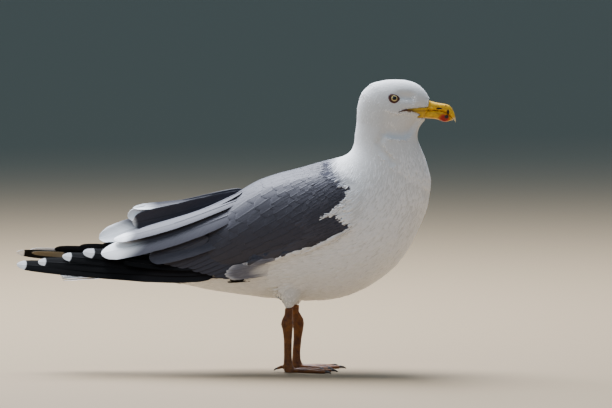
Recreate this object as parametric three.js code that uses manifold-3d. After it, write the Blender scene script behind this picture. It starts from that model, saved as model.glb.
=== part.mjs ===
// A yellow-legged gull, standing at rest with its wings folded, life size, in millimetres.
// +X is forward, towards the bill, +Y is the bird's left, +Z is up, and the soles are at Z = 0.
import * as THREE from "three";
import { mergeVertices } from "three/addons/utils/BufferGeometryUtils.js";
import Module from "manifold-3d";

const wasm = await Module();
wasm.setup();

// ---------------------------------------------------------------- driving dimensions
const GAP = 0.35; // clearance between neighbouring pieces
const LEFT = 1; // sign of Y on the bird's left
const RIGHT = -1;

// The flesh of the bird, from the rump to the root of the bill, as sections that fan round the nape and
// then round the throat. Each row: dorsal x, dorsal z, ventral x, ventral z, half width.
const BODY_SECTIONS = [
  [-113, 143, -100, 122, 19], // root of the tail
  [-67, 172, -60, 111, 35], // tail coverts
  [-19, 220, -28, 104, 49], // rump and vent
  [31, 253, 18, 97, 59], // hips
  [84, 268, 71, 91.5, 65], // back and belly, over the legs
  [121, 279, 124, 91.5, 66], // shoulders
  [141, 283.5, 170, 106.5, 63], // fore back and breast
  [149, 288, 206, 132, 57.5],
  [151, 291, 223, 152.5, 54],
  [152.5, 295, 237, 177, 50], // breast
  [153.5, 301, 254.5, 220, 43],
  [154, 307, 256.5, 255, 37.5], // foot of the neck
  [154.5, 314, 248, 284, 33.5],
  [155.5, 322, 239, 303, 31], // neck
  [157, 331, 238.5, 313, 29],
  [158.5, 350, 240, 318, 27.5], // nape
  [163.5, 366, 242, 321, 26.5], // back of the skull and cheeks
  [177, 378.5, 244.5, 324, 24.5], // crown
  [200, 383, 247, 327, 22.3], // above the eyes
  [221, 382.5, 248.5, 329, 19.2], // forehead
  [236, 378.5, 250, 330, 15.8],
  [246, 370.5, 251.5, 331, 12.2], // lores
  [252, 362.5, 252.5, 332, 9.6],
  [255, 354, 253, 332.5, 8.2], // edge of the feathers at the bill
];
const BODY_SIDES = 20;
const NECK_FROM = 11; // the sections above this one lie close enough to need no ring between them
const TRUNK_STEPS = 2; // rings from one section to the next, below it
const NECK_CUT = { dorsal: [153.7, 303], ventral: [256, 238] };
const HEAD_CUT = { dorsal: [157, 330], ventral: [238.5, 312.5] };
const SLAB_REACH = 400; // breadth of the slabs that part head, neck and trunk

// The folded arm of a wing with its coverts and scapulars, a shell on the flank. Each row: top x, top z,
// bottom x, bottom z, height over the flank, least distance from the midline at the top and at the bottom.
const ARM_SECTIONS = [
  [160, 224, 160, 208, 0.5, 0, 0], // bend of the wing
  [151, 243, 152, 190, 3, 0, 0],
  [126, 261, 136, 181, 4.5, 0, 0],
  [84, 258, 84, 161, 5, 0, 0],
  [34, 243, 37, 145, 5, 18, 52],
  [-1, 225, 4, 137, 4.5, 15, 50],
  [-31, 207, -20, 125, 4, 13, 46],
  [-60, 189, -52, 131, 3, 12, 42],
  [-93, 172, -88, 142, 2, 12, 36],
  [-116, 161, -113, 148, 1, 15, 31], // end of the secondaries
];
const ARM_THICKNESS = 7;
const ARM_EDGE_SHARE = 0.3; // thickness at the upper and lower edge, as a share of the middle's
const ARM_BULGE = 7; // how far the rear of the arm swells out between its edges
const ARM_RELIEF = 18; // how far out the trunk is cut clear of the arm

// Feathers of the folded wing. Each row: root x, y, z, middle x, y, z, tip x, y, z, width, and how far the
// vane leans from upright, in degrees, with its upper edge towards the midline. Y is the distance from the
// midline.
const NEAR_TERTIALS = [
  [0, 46, 183, -60, 43, 164, -113, 36, 151, 26, 28], // the lowest
  [5, 42, 212, -75, 34, 182, -176, 20, 155, 31, 32],
  [5, 28, 226, -80, 24, 195, -160, 14, 173, 24, 60],
  [8, 17, 236, -50, 13, 209, -126, 8, 186, 20, 75], // the innermost, over the rump
];
const FAR_TERTIALS = [
  [-8, 45, 188, -70, 38, 172, -141, 26, 150, 24, 35],
  [5, 40, 213, -80, 32, 199, -180, 16, 172, 33, -35],
  [15, 32, 230, -75, 25, 206, -136, 16, 193, 26, 0],
  [10, 37, 236, -80, 36, 212, -143, 29, 201, 24, -20],
  [15, 31, 238, -60, 35, 223, -134, 33, 214, 20, -60],
];
const NEAR_PRIMARIES = [
  [-30, 44, 130, -120, 31, 129.5, -287, 8, 140, 21, 30], // the outermost and longest
  [-34, 43, 137, -120, 29, 137.5, -259, 9, 143.5, 20, 30],
  [-38, 42, 142, -118, 27, 143, -227, 11, 151, 20, 30],
  [-42, 41, 147, -110, 26, 148, -200, 13, 156.5, 20, 30],
  [-46, 40, 151, -100, 26, 152, -170, 16, 160, 18, 30],
];
const FAR_PRIMARIES = [
  [-30, 44, 134, -130, 28, 141, -288, 5, 155, 18, 30],
  [-34, 43, 139, -128, 26, 147, -270, 5.5, 158, 15, 30],
  [-38, 42, 144, -124, 24, 151, -238, 6, 159.5, 18, 30],
  [-42, 41, 149, -116, 23, 155, -206, 7, 162, 18, 30],
  [-46, 40, 153, -104, 23, 158, -176, 10, 164, 17, 30],
];
const FEATHER_THICKNESS = 1.7;
// The outline of a vane. Each row: share of its length from the root, share of its half width.
const FEATHER_OUTLINE = [
  [0, 0.55],
  [0.35, 0.9],
  [0.75, 1],
  [0.94, 0.68],
  [1, 0.2],
];

// The closed tail, a flat fan. Each row: x, z, half width.
const TAIL_SECTIONS = [
  [-92, 134, 15],
  [-140, 130.5, 20],
  [-185, 127, 26],
  [-217, 124.8, 29.5],
  [-226, 124.2, 29],
  [-230, 124, 26.5],
];
const TAIL_DROOP = 5; // how far the outer feathers hang below the middle ones
const TAIL_ROUND = 4; // how much shorter the outer feathers are
const TAIL_THICKNESS = 3;

const EYE = { x: 207.4, z: 357.6, y: 17.0, radius: 7.6, around: 12, upDown: 8 };

// The bill. How much each piece narrows, or widens, towards its upper edge.
const UPPER_PEAK = 0.72;
const RIM_PEAK = 0.95;
const LOWER_PEAK = 1.15;
// Each row: x, z of the upper edge, z of the lower edge, half width.
const UPPER_BILL_SECTIONS = [
  [246, 357, 341.6, 8.6],
  [255, 353.6, 341.4, 7.6],
  [264, 351.4, 341.2, 6.9],
  [272.5, 350.0, 339.6, 6.2],
  [278.5, 348.0, 335.4, 5.3],
  [283.3, 342.8, 331.2, 4.0],
  [286.4, 335.4, 328.0, 2.5],
  [287.6, 326.6, 325.4, 0.9],
];
const UPPER_RIM_SECTIONS = [
  [219, 343.9, 342.1, 18.6],
  [232, 345.1, 341.8, 17.0],
  [246, 345.8, 341.6, 12.2],
  [258, 345.8, 341.6, 7.4],
];
const LOWER_BILL_SECTIONS = [
  [240, 340.9, 332.2, 9.0],
  [250, 340.7, 331.2, 7.9],
  [262, 340.5, 330.2, 6.6],
  [270, 339.6, 327.4, 5.7],
  [276, 335.4, 327.2, 4.6],
  [281, 331.4, 328.6, 3.0],
  [284.2, 329.4, 328.7, 1.2],
];
// Legs: ankle is the middle of the joint, and the toes fan out in front of the foot of the shank.
const LEGS = {
  right: { side: RIGHT, footX: 68, hipX: 71, ankle: [67, 63], stance: 27 },
  left: { side: LEFT, footX: 79, hipX: 79, ankle: [81, 59.5], stance: 27 },
};
const THIGH_BOTTOM = 84.5;
// Each row: distance ahead of the hip, share of the stance, z, half length, half breadth.
const THIGH_SECTIONS = [
  [2, 0.9, 122, 26, 20],
  [1, 0.95, 104, 18, 15],
  [0, 1, 94, 11.5, 10],
  [-1, 1, 88, 8, 7.2],
  [-1.5, 1, THIGH_BOTTOM, 6.4, 5.6],
];
const SHANK_FOOT_Z = 12; // where the shank meets the foot
const TOES = [
  { name: "inner", angle: 27, length: 45, claw: 7.5 },
  { name: "middle", angle: 2, length: 55, claw: 8.5 },
  { name: "outer", angle: -24, length: 52, claw: 7.5 },
];
const TOE_RADIUS = 3.4;
const TOE_TIP_RADIUS = 2.5;
const TOE_END = 0.72; // how far a toe narrows at its very end
const TOE_PADS = { count: 3, rise: 0.3 }; // swellings along a toe
const TOE_SQUASH = 0.8; // height of a toe's middle over the ground, as a share of its radius
const TOE_ROOT = { share: 0.2, lift: 0.5 }; // how much of a toe climbs to the foot, and how far
const WEB_THICKNESS = 1.3;
const WEB_LIFT = 0.2; // its underside over the ground
const WEB_SHARES = [0.05, 0.3, 0.55, 0.75, 0.9]; // places along a toe
const WEB_SCALLOP = 7; // how far the front edge of the web curves back between two toes
// The short hind toe. Each row: distance behind the foot of the shank, distance inwards, z, radius.
const HALLUX_SECTIONS = [
  [1, 0, 7.5, 2.8],
  [8.4, 1.5, 7, 2.3],
  [14, 2.5, 5, 1.7],
];
const HALLUX_CLAW = { length: 4.5, radius: 1.5, tipZ: 2, sunk: 1 };
const CLAW = { radius: 2.1, tipZ: 0.7, sunk: 2, startZ: 2.4 };
const CLAW_ARCH = 1.1; // how far a claw's middle rises over the line from root to tip
const CLAW_TAPER = [1, 0.86, 0.62, 0.22]; // radius from root to tip, as a share of the root's

// ---------------------------------------------------------------- helpers: lofts and solids
// Rows of numbers resampled with a Catmull-Rom spline, `steps` rows from each given row to the next.
function resample(rows, steps) {
  const at = (i) => rows[Math.min(rows.length - 1, Math.max(0, i))];
  const out = [];
  for (let i = 0; i < rows.length - 1; i++) {
    for (let k = 0; k < steps; k++) {
      const t = k / steps;
      out.push(
        at(i).map((b, j) => {
          const a = at(i - 1)[j];
          const c = at(i + 1)[j];
          const d = at(i + 2)[j];
          const even = 2 * b + (c - a) * t;
          const bend = (2 * a - 5 * b + 4 * c - d) * t * t;
          return 0.5 * (even + bend + (3 * b - a - 3 * c + d) * t ** 3);
        }),
      );
    }
  }
  out.push(rows[rows.length - 1]);
  return out;
}

// A closed surface through rings of equally many points, with a fan on each end.
function loft(rings) {
  const sides = rings[0].length;
  const vertices = rings.flat();
  const index = [];
  for (let i = 0; i < rings.length - 1; i++) {
    for (let k = 0; k < sides; k++) {
      const a = i * sides + k;
      const b = i * sides + ((k + 1) % sides);
      index.push(a, b, a + sides, b, b + sides, a + sides);
    }
  }
  const middle = (ring) =>
    ring.reduce((sum, p) => sum.add(p), new THREE.Vector3()).divideScalar(sides);
  const last = (rings.length - 1) * sides;
  const first = vertices.push(middle(rings[0])) - 1;
  const end = vertices.push(middle(rings[rings.length - 1])) - 1;
  for (let k = 0; k < sides; k++) {
    const next = (k + 1) % sides;
    index.push(first, next, k, end, last + k, last + next);
  }
  const geometry = new THREE.BufferGeometry().setFromPoints(vertices);
  geometry.setIndex(index);
  return geometry;
}

// Turns a closed geometry into a solid whose faces point out.
function solid(geometry) {
  const bare = geometry.clone();
  bare.deleteAttribute("normal");
  bare.deleteAttribute("uv");
  const merged = mergeVertices(bare, 1e-4);
  const make = (triVerts) =>
    new wasm.Manifold(
      new wasm.Mesh({ numProp: 3, vertProperties: merged.attributes.position.array, triVerts }),
    );
  const triVerts = new Uint32Array(merged.index.array);
  const made = make(triVerts);
  if (made.volume() > 0) return made;
  for (let i = 0; i < triVerts.length; i += 3) {
    [triVerts[i + 1], triVerts[i + 2]] = [triVerts[i + 2], triVerts[i + 1]];
  }
  return make(triVerts);
}

function geometryOf(manifold) {
  const mesh = manifold.getMesh();
  const positions = new Float32Array(mesh.numVert * 3);
  for (let i = 0; i < mesh.numVert; i++) {
    positions.set(mesh.vertProperties.subarray(i * mesh.numProp, i * mesh.numProp + 3), i * 3);
  }
  const geometry = new THREE.BufferGeometry();
  geometry.setAttribute("position", new THREE.BufferAttribute(positions, 3));
  geometry.setIndex(new THREE.BufferAttribute(mesh.triVerts, 1));
  geometry.computeVertexNormals();
  return geometry;
}

const union = (solids) => solids.reduce((all, one) => all.add(one));
const less = (base, cutters) => cutters.reduce((left, cutter) => left.subtract(cutter), base);
const largest = (manifold) =>
  manifold.decompose().reduce((best, one) => (one.volume() > best.volume() ? one : best));

// A ring round a strip of points, `half` above and below it.
const stripRing = (points, half) => [
  ...points.map(({ x, y, z }) => new THREE.Vector3(x, y, z - half)),
  ...points.map(({ x, y, z }) => new THREE.Vector3(x, y, z + half)).reverse(),
];

// A ring of an ellipse in the plane of two half axes, given as vectors.
function ellipseRing(centre, halfA, halfB, sides) {
  return Array.from({ length: sides }, (_, k) => {
    const angle = (2 * Math.PI * k) / sides;
    return centre
      .clone()
      .addScaledVector(halfA, Math.cos(angle))
      .addScaledVector(halfB, Math.sin(angle));
  });
}

// A wide thin slab that holds the line from a dorsal to a ventral point and the Y axis.
function cuttingSlab({ dorsal, ventral }, thickness) {
  const geometry = new THREE.BoxGeometry(SLAB_REACH, SLAB_REACH, thickness);
  const fall = Math.atan2(dorsal[1] - ventral[1], ventral[0] - dorsal[0]);
  geometry.rotateY(fall);
  geometry.translate((dorsal[0] + ventral[0]) / 2, 0, (dorsal[1] + ventral[1]) / 2);
  return solid(geometry);
}

// ---------------------------------------------------------------- body
const trunkRows = resample(BODY_SECTIONS.slice(0, NECK_FROM + 1), TRUNK_STEPS);
const bodyRows = [...trunkRows, ...BODY_SECTIONS.slice(NECK_FROM + 1)];

function bodySolid(grow) {
  const rings = bodyRows.map(([dx, dz, vx, vz, halfWidth], i) => {
    const centre = new THREE.Vector3((dx + vx) / 2, 0, (dz + vz) / 2);
    const up = new THREE.Vector3((dx - vx) / 2, 0, (dz - vz) / 2);
    up.setLength(up.length() + grow);
    const across = new THREE.Vector3(0, halfWidth + grow, 0);
    if (i === 0) centre.x -= grow;
    if (i === bodyRows.length - 1) centre.x += grow;
    return ellipseRing(centre, up, across, BODY_SIDES);
  });
  return solid(loft(rings));
}

// Half width of the trunk at a place in the side view, between the two sections that lie about it.
function flankAt(x, z) {
  const seen = trunkRows.map(([dx, dz, vx, vz, width]) => {
    const ux = (dx - vx) / 2;
    const uz = (dz - vz) / 2;
    const px = x - (dx + vx) / 2;
    const pz = z - (dz + vz) / 2;
    const along = (px * ux + pz * uz) / (ux * ux + uz * uz);
    return { past: (px * uz - pz * ux) / Math.hypot(ux, uz), along, width };
  });
  const after = Math.max(1, seen.findIndex(({ past }) => past < 0));
  const [a, b] = [seen[after - 1], seen[after]];
  const t = THREE.MathUtils.clamp(a.past / (a.past - b.past), 0, 1);
  const along = THREE.MathUtils.lerp(a.along, b.along, t);
  return THREE.MathUtils.lerp(a.width, b.width, t) * Math.sqrt(Math.max(0, 1 - along ** 2));
}

// ---------------------------------------------------------------- wings
// The shell of a folded arm. `outward` thickens it away from the body, for cutting the trunk clear.
function armSolid(side, grow, outward = 0) {
  const across = 7;
  const rings = resample(ARM_SECTIONS, 2).map(([tx, tz, bx, bz, proud, leastTop, leastBottom]) => {
    const outer = [];
    const inner = [];
    const length = Math.hypot(tx - bx, tz - bz);
    for (let k = 0; k < across; k++) {
      const v = k / (across - 1);
      const x = tx + (bx - tx) * v;
      const z = tz + (bz - tz) * v;
      const swell = 4 * v * (1 - v);
      const least = leastTop + (leastBottom - leastTop) * v + (leastTop ? ARM_BULGE * swell : 0);
      const y = Math.max(flankAt(x, z) + proud, least);
      const thickness = ARM_THICKNESS * (ARM_EDGE_SHARE + (1 - ARM_EDGE_SHARE) * Math.sqrt(swell));
      const beyond = ((v * 2 - 1) * grow) / length;
      const place = new THREE.Vector3(x + (bx - tx) * beyond, 0, z + (bz - tz) * beyond);
      outer.push(place.clone().setY(side * (y + grow + outward)));
      inner.unshift(place.clone().setY(side * (y - thickness - 3 * grow)));
    }
    return [...outer, ...inner];
  });
  rings[0].forEach((p) => (p.x += grow));
  rings[rings.length - 1].forEach((p) => (p.x -= grow));
  return solid(loft(rings));
}

// One long feather: a thin lens along a curve, widest past its middle and round at its tip.
function featherSolid(points, width, lean, grow) {
  const curve = new THREE.CatmullRomCurve3(points);
  const rings = FEATHER_OUTLINE.map(([stop, share]) => {
    const along = curve.getTangent(stop);
    const across = lean.clone().addScaledVector(along, -lean.dot(along)).normalize();
    const normal = new THREE.Vector3().crossVectors(along, across);
    const halfWidth = (share * width) / 2 + grow;
    const centre = curve.getPoint(stop);
    if (stop === 1) centre.addScaledVector(along, grow);
    const halfThickness = FEATHER_THICKNESS / 2 + grow;
    return ellipseRing(
      centre,
      across.multiplyScalar(halfWidth),
      normal.multiplyScalar(halfThickness),
      6,
    );
  });
  return solid(loft(rings));
}

function wingFeathers(rows, side, grow) {
  return union(
    rows.map((row) => {
      const points = [0, 3, 6].map((k) => new THREE.Vector3(row[k], side * row[k + 1], row[k + 2]));
      const tilt = THREE.MathUtils.degToRad(row[10]);
      const lean = new THREE.Vector3(0, -side * Math.sin(tilt), Math.cos(tilt));
      return featherSolid(points, row[9], lean, grow);
    }),
  );
}

const WINGS = [
  {
    name: "right",
    side: RIGHT,
    tertials: (grow) => wingFeathers(NEAR_TERTIALS, RIGHT, grow),
    primaries: (grow) => wingFeathers(NEAR_PRIMARIES, RIGHT, grow),
  },
  {
    name: "left",
    side: LEFT,
    tertials: (grow) => wingFeathers(FAR_TERTIALS, LEFT, grow),
    primaries: (grow) => wingFeathers(FAR_PRIMARIES, LEFT, grow),
  },
];

// ---------------------------------------------------------------- tail
function tailSolid() {
  const across = 7;
  const rings = TAIL_SECTIONS.map(([x, z, halfWidth], i) => {
    const points = Array.from({ length: across }, (_, k) => {
      const v = (2 * k) / (across - 1) - 1; // -1 at the right edge, 1 at the left
      const share = i / (TAIL_SECTIONS.length - 1);
      const shorter = TAIL_ROUND * share ** 3 * v * v;
      return new THREE.Vector3(x + shorter, v * halfWidth, z - TAIL_DROOP * v * v);
    });
    return stripRing(points, (TAIL_THICKNESS / 2) * (i === TAIL_SECTIONS.length - 1 ? 0.5 : 1));
  });
  return solid(loft(rings));
}

// ---------------------------------------------------------------- bill and eyes
// A horn piece from upright sections. `peak` below 1 narrows the section towards its upper edge.
function hornSolid(sections, grow, peak) {
  const sides = 10;
  const rings = sections.map(([x, top, bottom, halfWidth], i) => {
    const ends = i === 0 ? -grow : i === sections.length - 1 ? grow : 0;
    const half = (top - bottom) / 2 + grow;
    return Array.from({ length: sides }, (_, k) => {
      const angle = (2 * Math.PI * k) / sides;
      const rise = Math.cos(angle);
      const narrow = 1 - ((1 - peak) * (rise + 1)) / 2;
      const y = Math.sin(angle) * (halfWidth + grow) * narrow;
      return new THREE.Vector3(x + ends, y, (top + bottom) / 2 + half * rise);
    });
  });
  return solid(loft(rings));
}

const upperBill = (grow) =>
  hornSolid(UPPER_BILL_SECTIONS, grow, UPPER_PEAK).add(hornSolid(UPPER_RIM_SECTIONS, grow, RIM_PEAK));
const lowerBill = (grow) => hornSolid(LOWER_BILL_SECTIONS, grow, LOWER_PEAK);

function eyeSolid(side, grow) {
  const geometry = new THREE.SphereGeometry(EYE.radius + grow, EYE.around, EYE.upDown);
  geometry.translate(EYE.x, side * EYE.y, EYE.z);
  return solid(geometry);
}

// ---------------------------------------------------------------- legs and feet
// An upright limb from level elliptical sections. Each row: x, y, z, half length, half breadth.
function limbSolid(rows, grow, sides) {
  const rings = rows.map(([x, y, z, halfLength, halfBreadth]) =>
    ellipseRing(
      new THREE.Vector3(x, y, z),
      new THREE.Vector3(halfLength + grow, 0, 0),
      new THREE.Vector3(0, halfBreadth + grow, 0),
      sides,
    ),
  );
  return solid(loft(rings));
}

function thighSolid({ side, hipX, stance }, grow) {
  const rows = THIGH_SECTIONS.map(([ahead, share, z, halfLength, halfBreadth]) => [
    hipX + ahead,
    side * stance * share,
    z === THIGH_BOTTOM ? z - grow : z,
    halfLength,
    halfBreadth,
  ]);
  return limbSolid(rows, grow, 12);
}

function shankSolid({ side, footX, hipX, ankle, stance }, grow) {
  const y = side * stance;
  const [ankleX, ankleZ] = ankle;
  const rows = [
    [hipX - 1.5, y, THIGH_BOTTOM - GAP, 5.2, 4.6],
    [hipX - 2, y, THIGH_BOTTOM - 9, 5.4, 4.5],
    [ankleX + 0.3, y, ankleZ + 6, 7, 5.2],
    [ankleX, y, ankleZ, 8.1, 5.8],
    [ankleX + 0.6, y, ankleZ - 7, 6.6, 4.8],
    [(ankleX + footX) / 2 + 0.5, y, ankleZ - 20, 5.3, 3.9],
    [footX, y, 22, 5.1, 3.8],
    [footX, y, SHANK_FOOT_Z + GAP, 5.6, 4.6],
  ];
  return limbSolid(rows, grow, 10);
}

// A tapering round piece along points, with a radius for each.
function taperSolid(points, radii, sides) {
  const curve = new THREE.CatmullRomCurve3(points);
  const rings = radii.map((radius, i) => {
    const stop = i / (radii.length - 1);
    const along = curve.getTangent(stop);
    const level = new THREE.Vector3(-along.y, along.x, 0).normalize();
    const upright = new THREE.Vector3().crossVectors(along, level);
    return ellipseRing(
      curve.getPoint(stop),
      level.multiplyScalar(radius),
      upright.multiplyScalar(radius),
      sides,
    );
  });
  return solid(loft(rings));
}

function toePlace({ side, footX, stance }, toe, reach) {
  const angle = THREE.MathUtils.degToRad(toe.angle) * -side;
  return new THREE.Vector3(
    footX + 2 + Math.cos(angle) * reach,
    side * stance + Math.sin(angle) * reach,
    0,
  );
}

// The radius of a toe at a share of its length: pads with slimmer stretches between them.
const toeRadius = (share) =>
  TOE_RADIUS +
  (TOE_TIP_RADIUS - TOE_RADIUS) * share +
  TOE_PADS.rise * Math.cos(share * TOE_PADS.count * 2 * Math.PI);

function toeSolid(leg, toe, grow) {
  const count = 6;
  const shares = Array.from({ length: count }, (_, i) => i / (count - 1));
  const points = shares.map((share) => {
    const place = toePlace(leg, toe, share * toe.length);
    const climb = Math.max(0, 1 - share / TOE_ROOT.share);
    place.z = toeRadius(share) * TOE_SQUASH + TOE_ROOT.lift * climb;
    return place;
  });
  const radii = shares.map((share) => toeRadius(share) + grow);
  radii[count - 1] *= TOE_END;
  return taperSolid(points, radii, 8);
}

function webSolid(leg, toeA, toeB, grow) {
  const across = 4;
  const half = WEB_THICKNESS / 2 + grow;
  const rings = WEB_SHARES.map((share) => {
    const a = toePlace(leg, toeA, share * toeA.length);
    const b = toePlace(leg, toeB, share * toeB.length);
    const back = new THREE.Vector3(leg.footX, leg.side * leg.stance, 0);
    const points = Array.from({ length: across }, (_, k) => {
      const v = k / (across - 1);
      const place = a.clone().lerp(b, v);
      const pull = back.clone().sub(place).setLength(WEB_SCALLOP * share * 4 * v * (1 - v));
      return place.add(pull).setZ(WEB_THICKNESS / 2 + WEB_LIFT);
    });
    return stripRing(points, half);
  });
  return solid(loft(rings));
}

const halluxPoints = ({ side, footX, stance }) =>
  HALLUX_SECTIONS.map(
    ([behind, inwards, z]) => new THREE.Vector3(footX - behind, side * (stance - inwards), z),
  );

function footSolid(leg, grow) {
  const y = leg.side * leg.stance;
  const palm = limbSolid(
    [
      [leg.footX + 3, y, 0, 7, 7.5],
      [leg.footX + 1.5, y, 4, 7, 6.8],
      [leg.footX, y, SHANK_FOOT_Z, 5.7, 4.7],
    ],
    grow,
    10,
  );
  const hallux = taperSolid(
    halluxPoints(leg),
    HALLUX_SECTIONS.map(([, , , radius]) => radius + grow),
    6,
  );
  const [inner, middle, outer] = TOES;
  const pieces = [
    palm,
    ...TOES.map((toe) => toeSolid(leg, toe, grow)),
    webSolid(leg, inner, middle, grow),
    webSolid(leg, middle, outer, grow),
    hallux,
  ];
  return union(pieces);
}

function clawSolid(start, heading, length, radius, tipZ) {
  const tip = start.clone().addScaledVector(heading, length).setZ(tipZ);
  const middle = start.clone().lerp(tip, 0.5);
  middle.z += CLAW_ARCH;
  return taperSolid([start, middle, tip], CLAW_TAPER.map((share) => share * radius), 6);
}

// ---------------------------------------------------------------- the bird
const FLOOR_REACH = 900;
const FLOOR_DEPTH = 60;
const floor = solid(
  new THREE.BoxGeometry(FLOOR_REACH, FLOOR_REACH, FLOOR_DEPTH).translate(0, 0, -FLOOR_DEPTH / 2),
);

const plumageWhite = { color: 0xf2f2f2, roughness: 0.9, metalness: 0 };
const plumageGrey = { color: 0x62656f, roughness: 0.85, metalness: 0 };
const plumageBlack = { color: 0x17161a, roughness: 0.7, metalness: 0 };
const billYellow = { color: 0xd9a520, roughness: 0.4, metalness: 0 };
const irisYellow = { color: 0xe3c878, roughness: 0.1, metalness: 0 };
const legYellow = { color: 0xc9861f, roughness: 0.55, metalness: 0 };
const clawBlack = { color: 0x1c1712, roughness: 0.4, metalness: 0 };

const gull = new THREE.Group();
gull.name = "gull";

function addPart(name, manifold, finish) {
  const mesh = new THREE.Mesh(geometryOf(largest(manifold)), new THREE.MeshStandardMaterial(finish));
  mesh.name = name;
  gull.add(mesh);
}

const billClear = [upperBill(GAP), lowerBill(GAP)];
const armsClear = WINGS.map(({ side }) => armSolid(side, GAP));
const armsCut = WINGS.map(({ side }) => armSolid(side, GAP, ARM_RELIEF));
const bodyClear = bodySolid(GAP);
const tertialsClear = WINGS.map(({ tertials }) => tertials(GAP));
const primariesClear = WINGS.map(({ primaries }) => primaries(GAP));

const wholeBody = less(bodySolid(0), [...billClear, eyeSolid(LEFT, GAP), eyeSolid(RIGHT, GAP)]);
const flesh = less(wholeBody, [
  cuttingSlab(NECK_CUT, GAP),
  cuttingSlab(HEAD_CUT, GAP),
  ...armsCut,
])
  .decompose()
  .sort((a, b) => b.volume() - a.volume());
const [trunk, ...upper] = flesh;
const lowestFirst = upper
  .slice(0, 2)
  .sort((a, b) => a.boundingBox().min[2] - b.boundingBox().min[2]);
addPart("trunk", trunk, plumageWhite);
addPart("neck", lowestFirst[0], plumageWhite);
addPart("head", lowestFirst[1], plumageWhite);

addPart("bill_upper", upperBill(0), billYellow);
addPart("bill_lower", less(lowerBill(0), [upperBill(GAP)]), billYellow);
addPart("eye_right", eyeSolid(RIGHT, 0), irisYellow);
addPart("eye_left", eyeSolid(LEFT, 0), irisYellow);

WINGS.forEach(({ name, side, tertials, primaries }, i) => {
  const other = 1 - i;
  addPart(`wing_${name}`, armSolid(side, 0), plumageGrey);
  const laterTertials = i ? [tertialsClear[other]] : [];
  const laterPrimaries = i ? [primariesClear[other]] : [];
  addPart(
    `tertials_${name}`,
    less(tertials(0), [bodyClear, ...armsClear, ...laterTertials]),
    plumageGrey,
  );
  addPart(
    `primaries_${name}`,
    less(primaries(0), [bodyClear, ...armsClear, ...tertialsClear, ...laterPrimaries]),
    plumageBlack,
  );
});

addPart("tail", less(tailSolid(), [bodyClear, ...armsClear, ...primariesClear]), plumageWhite);

for (const [name, leg] of Object.entries(LEGS)) {
  const thigh = less(thighSolid(leg, 0), [bodyClear]);
  addPart(`thigh_${name}`, thigh, plumageWhite);
  addPart(`shank_${name}`, less(shankSolid(leg, 0), [bodyClear, footSolid(leg, GAP)]), legYellow);
  addPart(`foot_${name}`, less(footSolid(leg, 0), [floor]), legYellow);
  const footClear = footSolid(leg, GAP);
  for (const toe of TOES) {
    const start = toePlace(leg, toe, toe.length - CLAW.sunk).setZ(CLAW.startZ);
    const heading = toePlace(leg, toe, toe.length).sub(toePlace(leg, toe, 0)).normalize();
    const claw = clawSolid(start, heading, toe.claw + CLAW.sunk, CLAW.radius, CLAW.tipZ);
    addPart(`claw_${name}_${toe.name}`, less(claw, [footClear, floor]), clawBlack);
  }
  const [, bend, end] = halluxPoints(leg);
  const heading = end.clone().sub(bend).setZ(0).normalize();
  const start = end.clone().addScaledVector(heading, -HALLUX_CLAW.sunk);
  const { length, sunk, radius, tipZ } = HALLUX_CLAW;
  const claw = clawSolid(start, heading, length + sunk, radius, tipZ);
  addPart(`claw_${name}_hallux`, less(claw, [footClear]), clawBlack);
}

export default gull;
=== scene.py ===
import math

import bmesh
import bpy
import numpy as np
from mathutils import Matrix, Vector, kdtree
from mathutils.bvhtree import BVHTree


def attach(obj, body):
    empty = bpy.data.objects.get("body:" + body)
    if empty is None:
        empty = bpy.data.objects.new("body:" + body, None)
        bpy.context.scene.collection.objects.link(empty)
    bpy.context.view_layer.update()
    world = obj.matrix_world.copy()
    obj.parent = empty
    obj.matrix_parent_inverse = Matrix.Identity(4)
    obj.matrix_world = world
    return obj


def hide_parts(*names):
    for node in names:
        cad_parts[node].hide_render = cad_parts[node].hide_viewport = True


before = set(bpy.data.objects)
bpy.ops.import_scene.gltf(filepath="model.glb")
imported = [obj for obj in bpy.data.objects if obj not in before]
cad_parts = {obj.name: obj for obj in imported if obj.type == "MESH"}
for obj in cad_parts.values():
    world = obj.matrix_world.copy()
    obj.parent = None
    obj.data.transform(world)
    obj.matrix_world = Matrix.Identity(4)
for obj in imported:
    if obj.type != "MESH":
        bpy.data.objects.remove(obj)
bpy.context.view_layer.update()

MM = 0.001
RIGHT, LEFT = -1, 1
SIDES = {"right": RIGHT, "left": LEFT}

# ------------------------------------------------------------ small helpers


def srgb(hex_value):
    """Linear colour of a six-digit sRGB hex value."""
    parts = [int(hex_value[i : i + 2], 16) / 255 for i in (1, 3, 5)]
    return [p / 12.92 if p <= 0.04045 else ((p + 0.055) / 1.055) ** 2.4 for p in parts] + [1]


def add(tree, kind, feeds=None, stops=(), **settings):
    """A node of the tree with its settings. Each socket in feeds takes a value, another node's output,
    or the first live output of a node; stops fills a colour ramp with places and tints."""
    made = tree.nodes.new(kind)
    for name, value in settings.items():
        setattr(made, name, value)
    for i, (place, tint) in enumerate(stops):
        stop = made.color_ramp.elements[i] if i < 2 else made.color_ramp.elements.new(place)
        stop.position, stop.color = place, srgb(tint)
    for socket, source in (feeds or {}).items():
        if isinstance(source, bpy.types.Node):
            source = next(output for output in source.outputs if not output.is_unavailable)
        if isinstance(source, bpy.types.NodeSocket):
            tree.links.new(source, made.inputs[socket])
        else:
            made.inputs[socket].default_value = source
    return made


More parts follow.
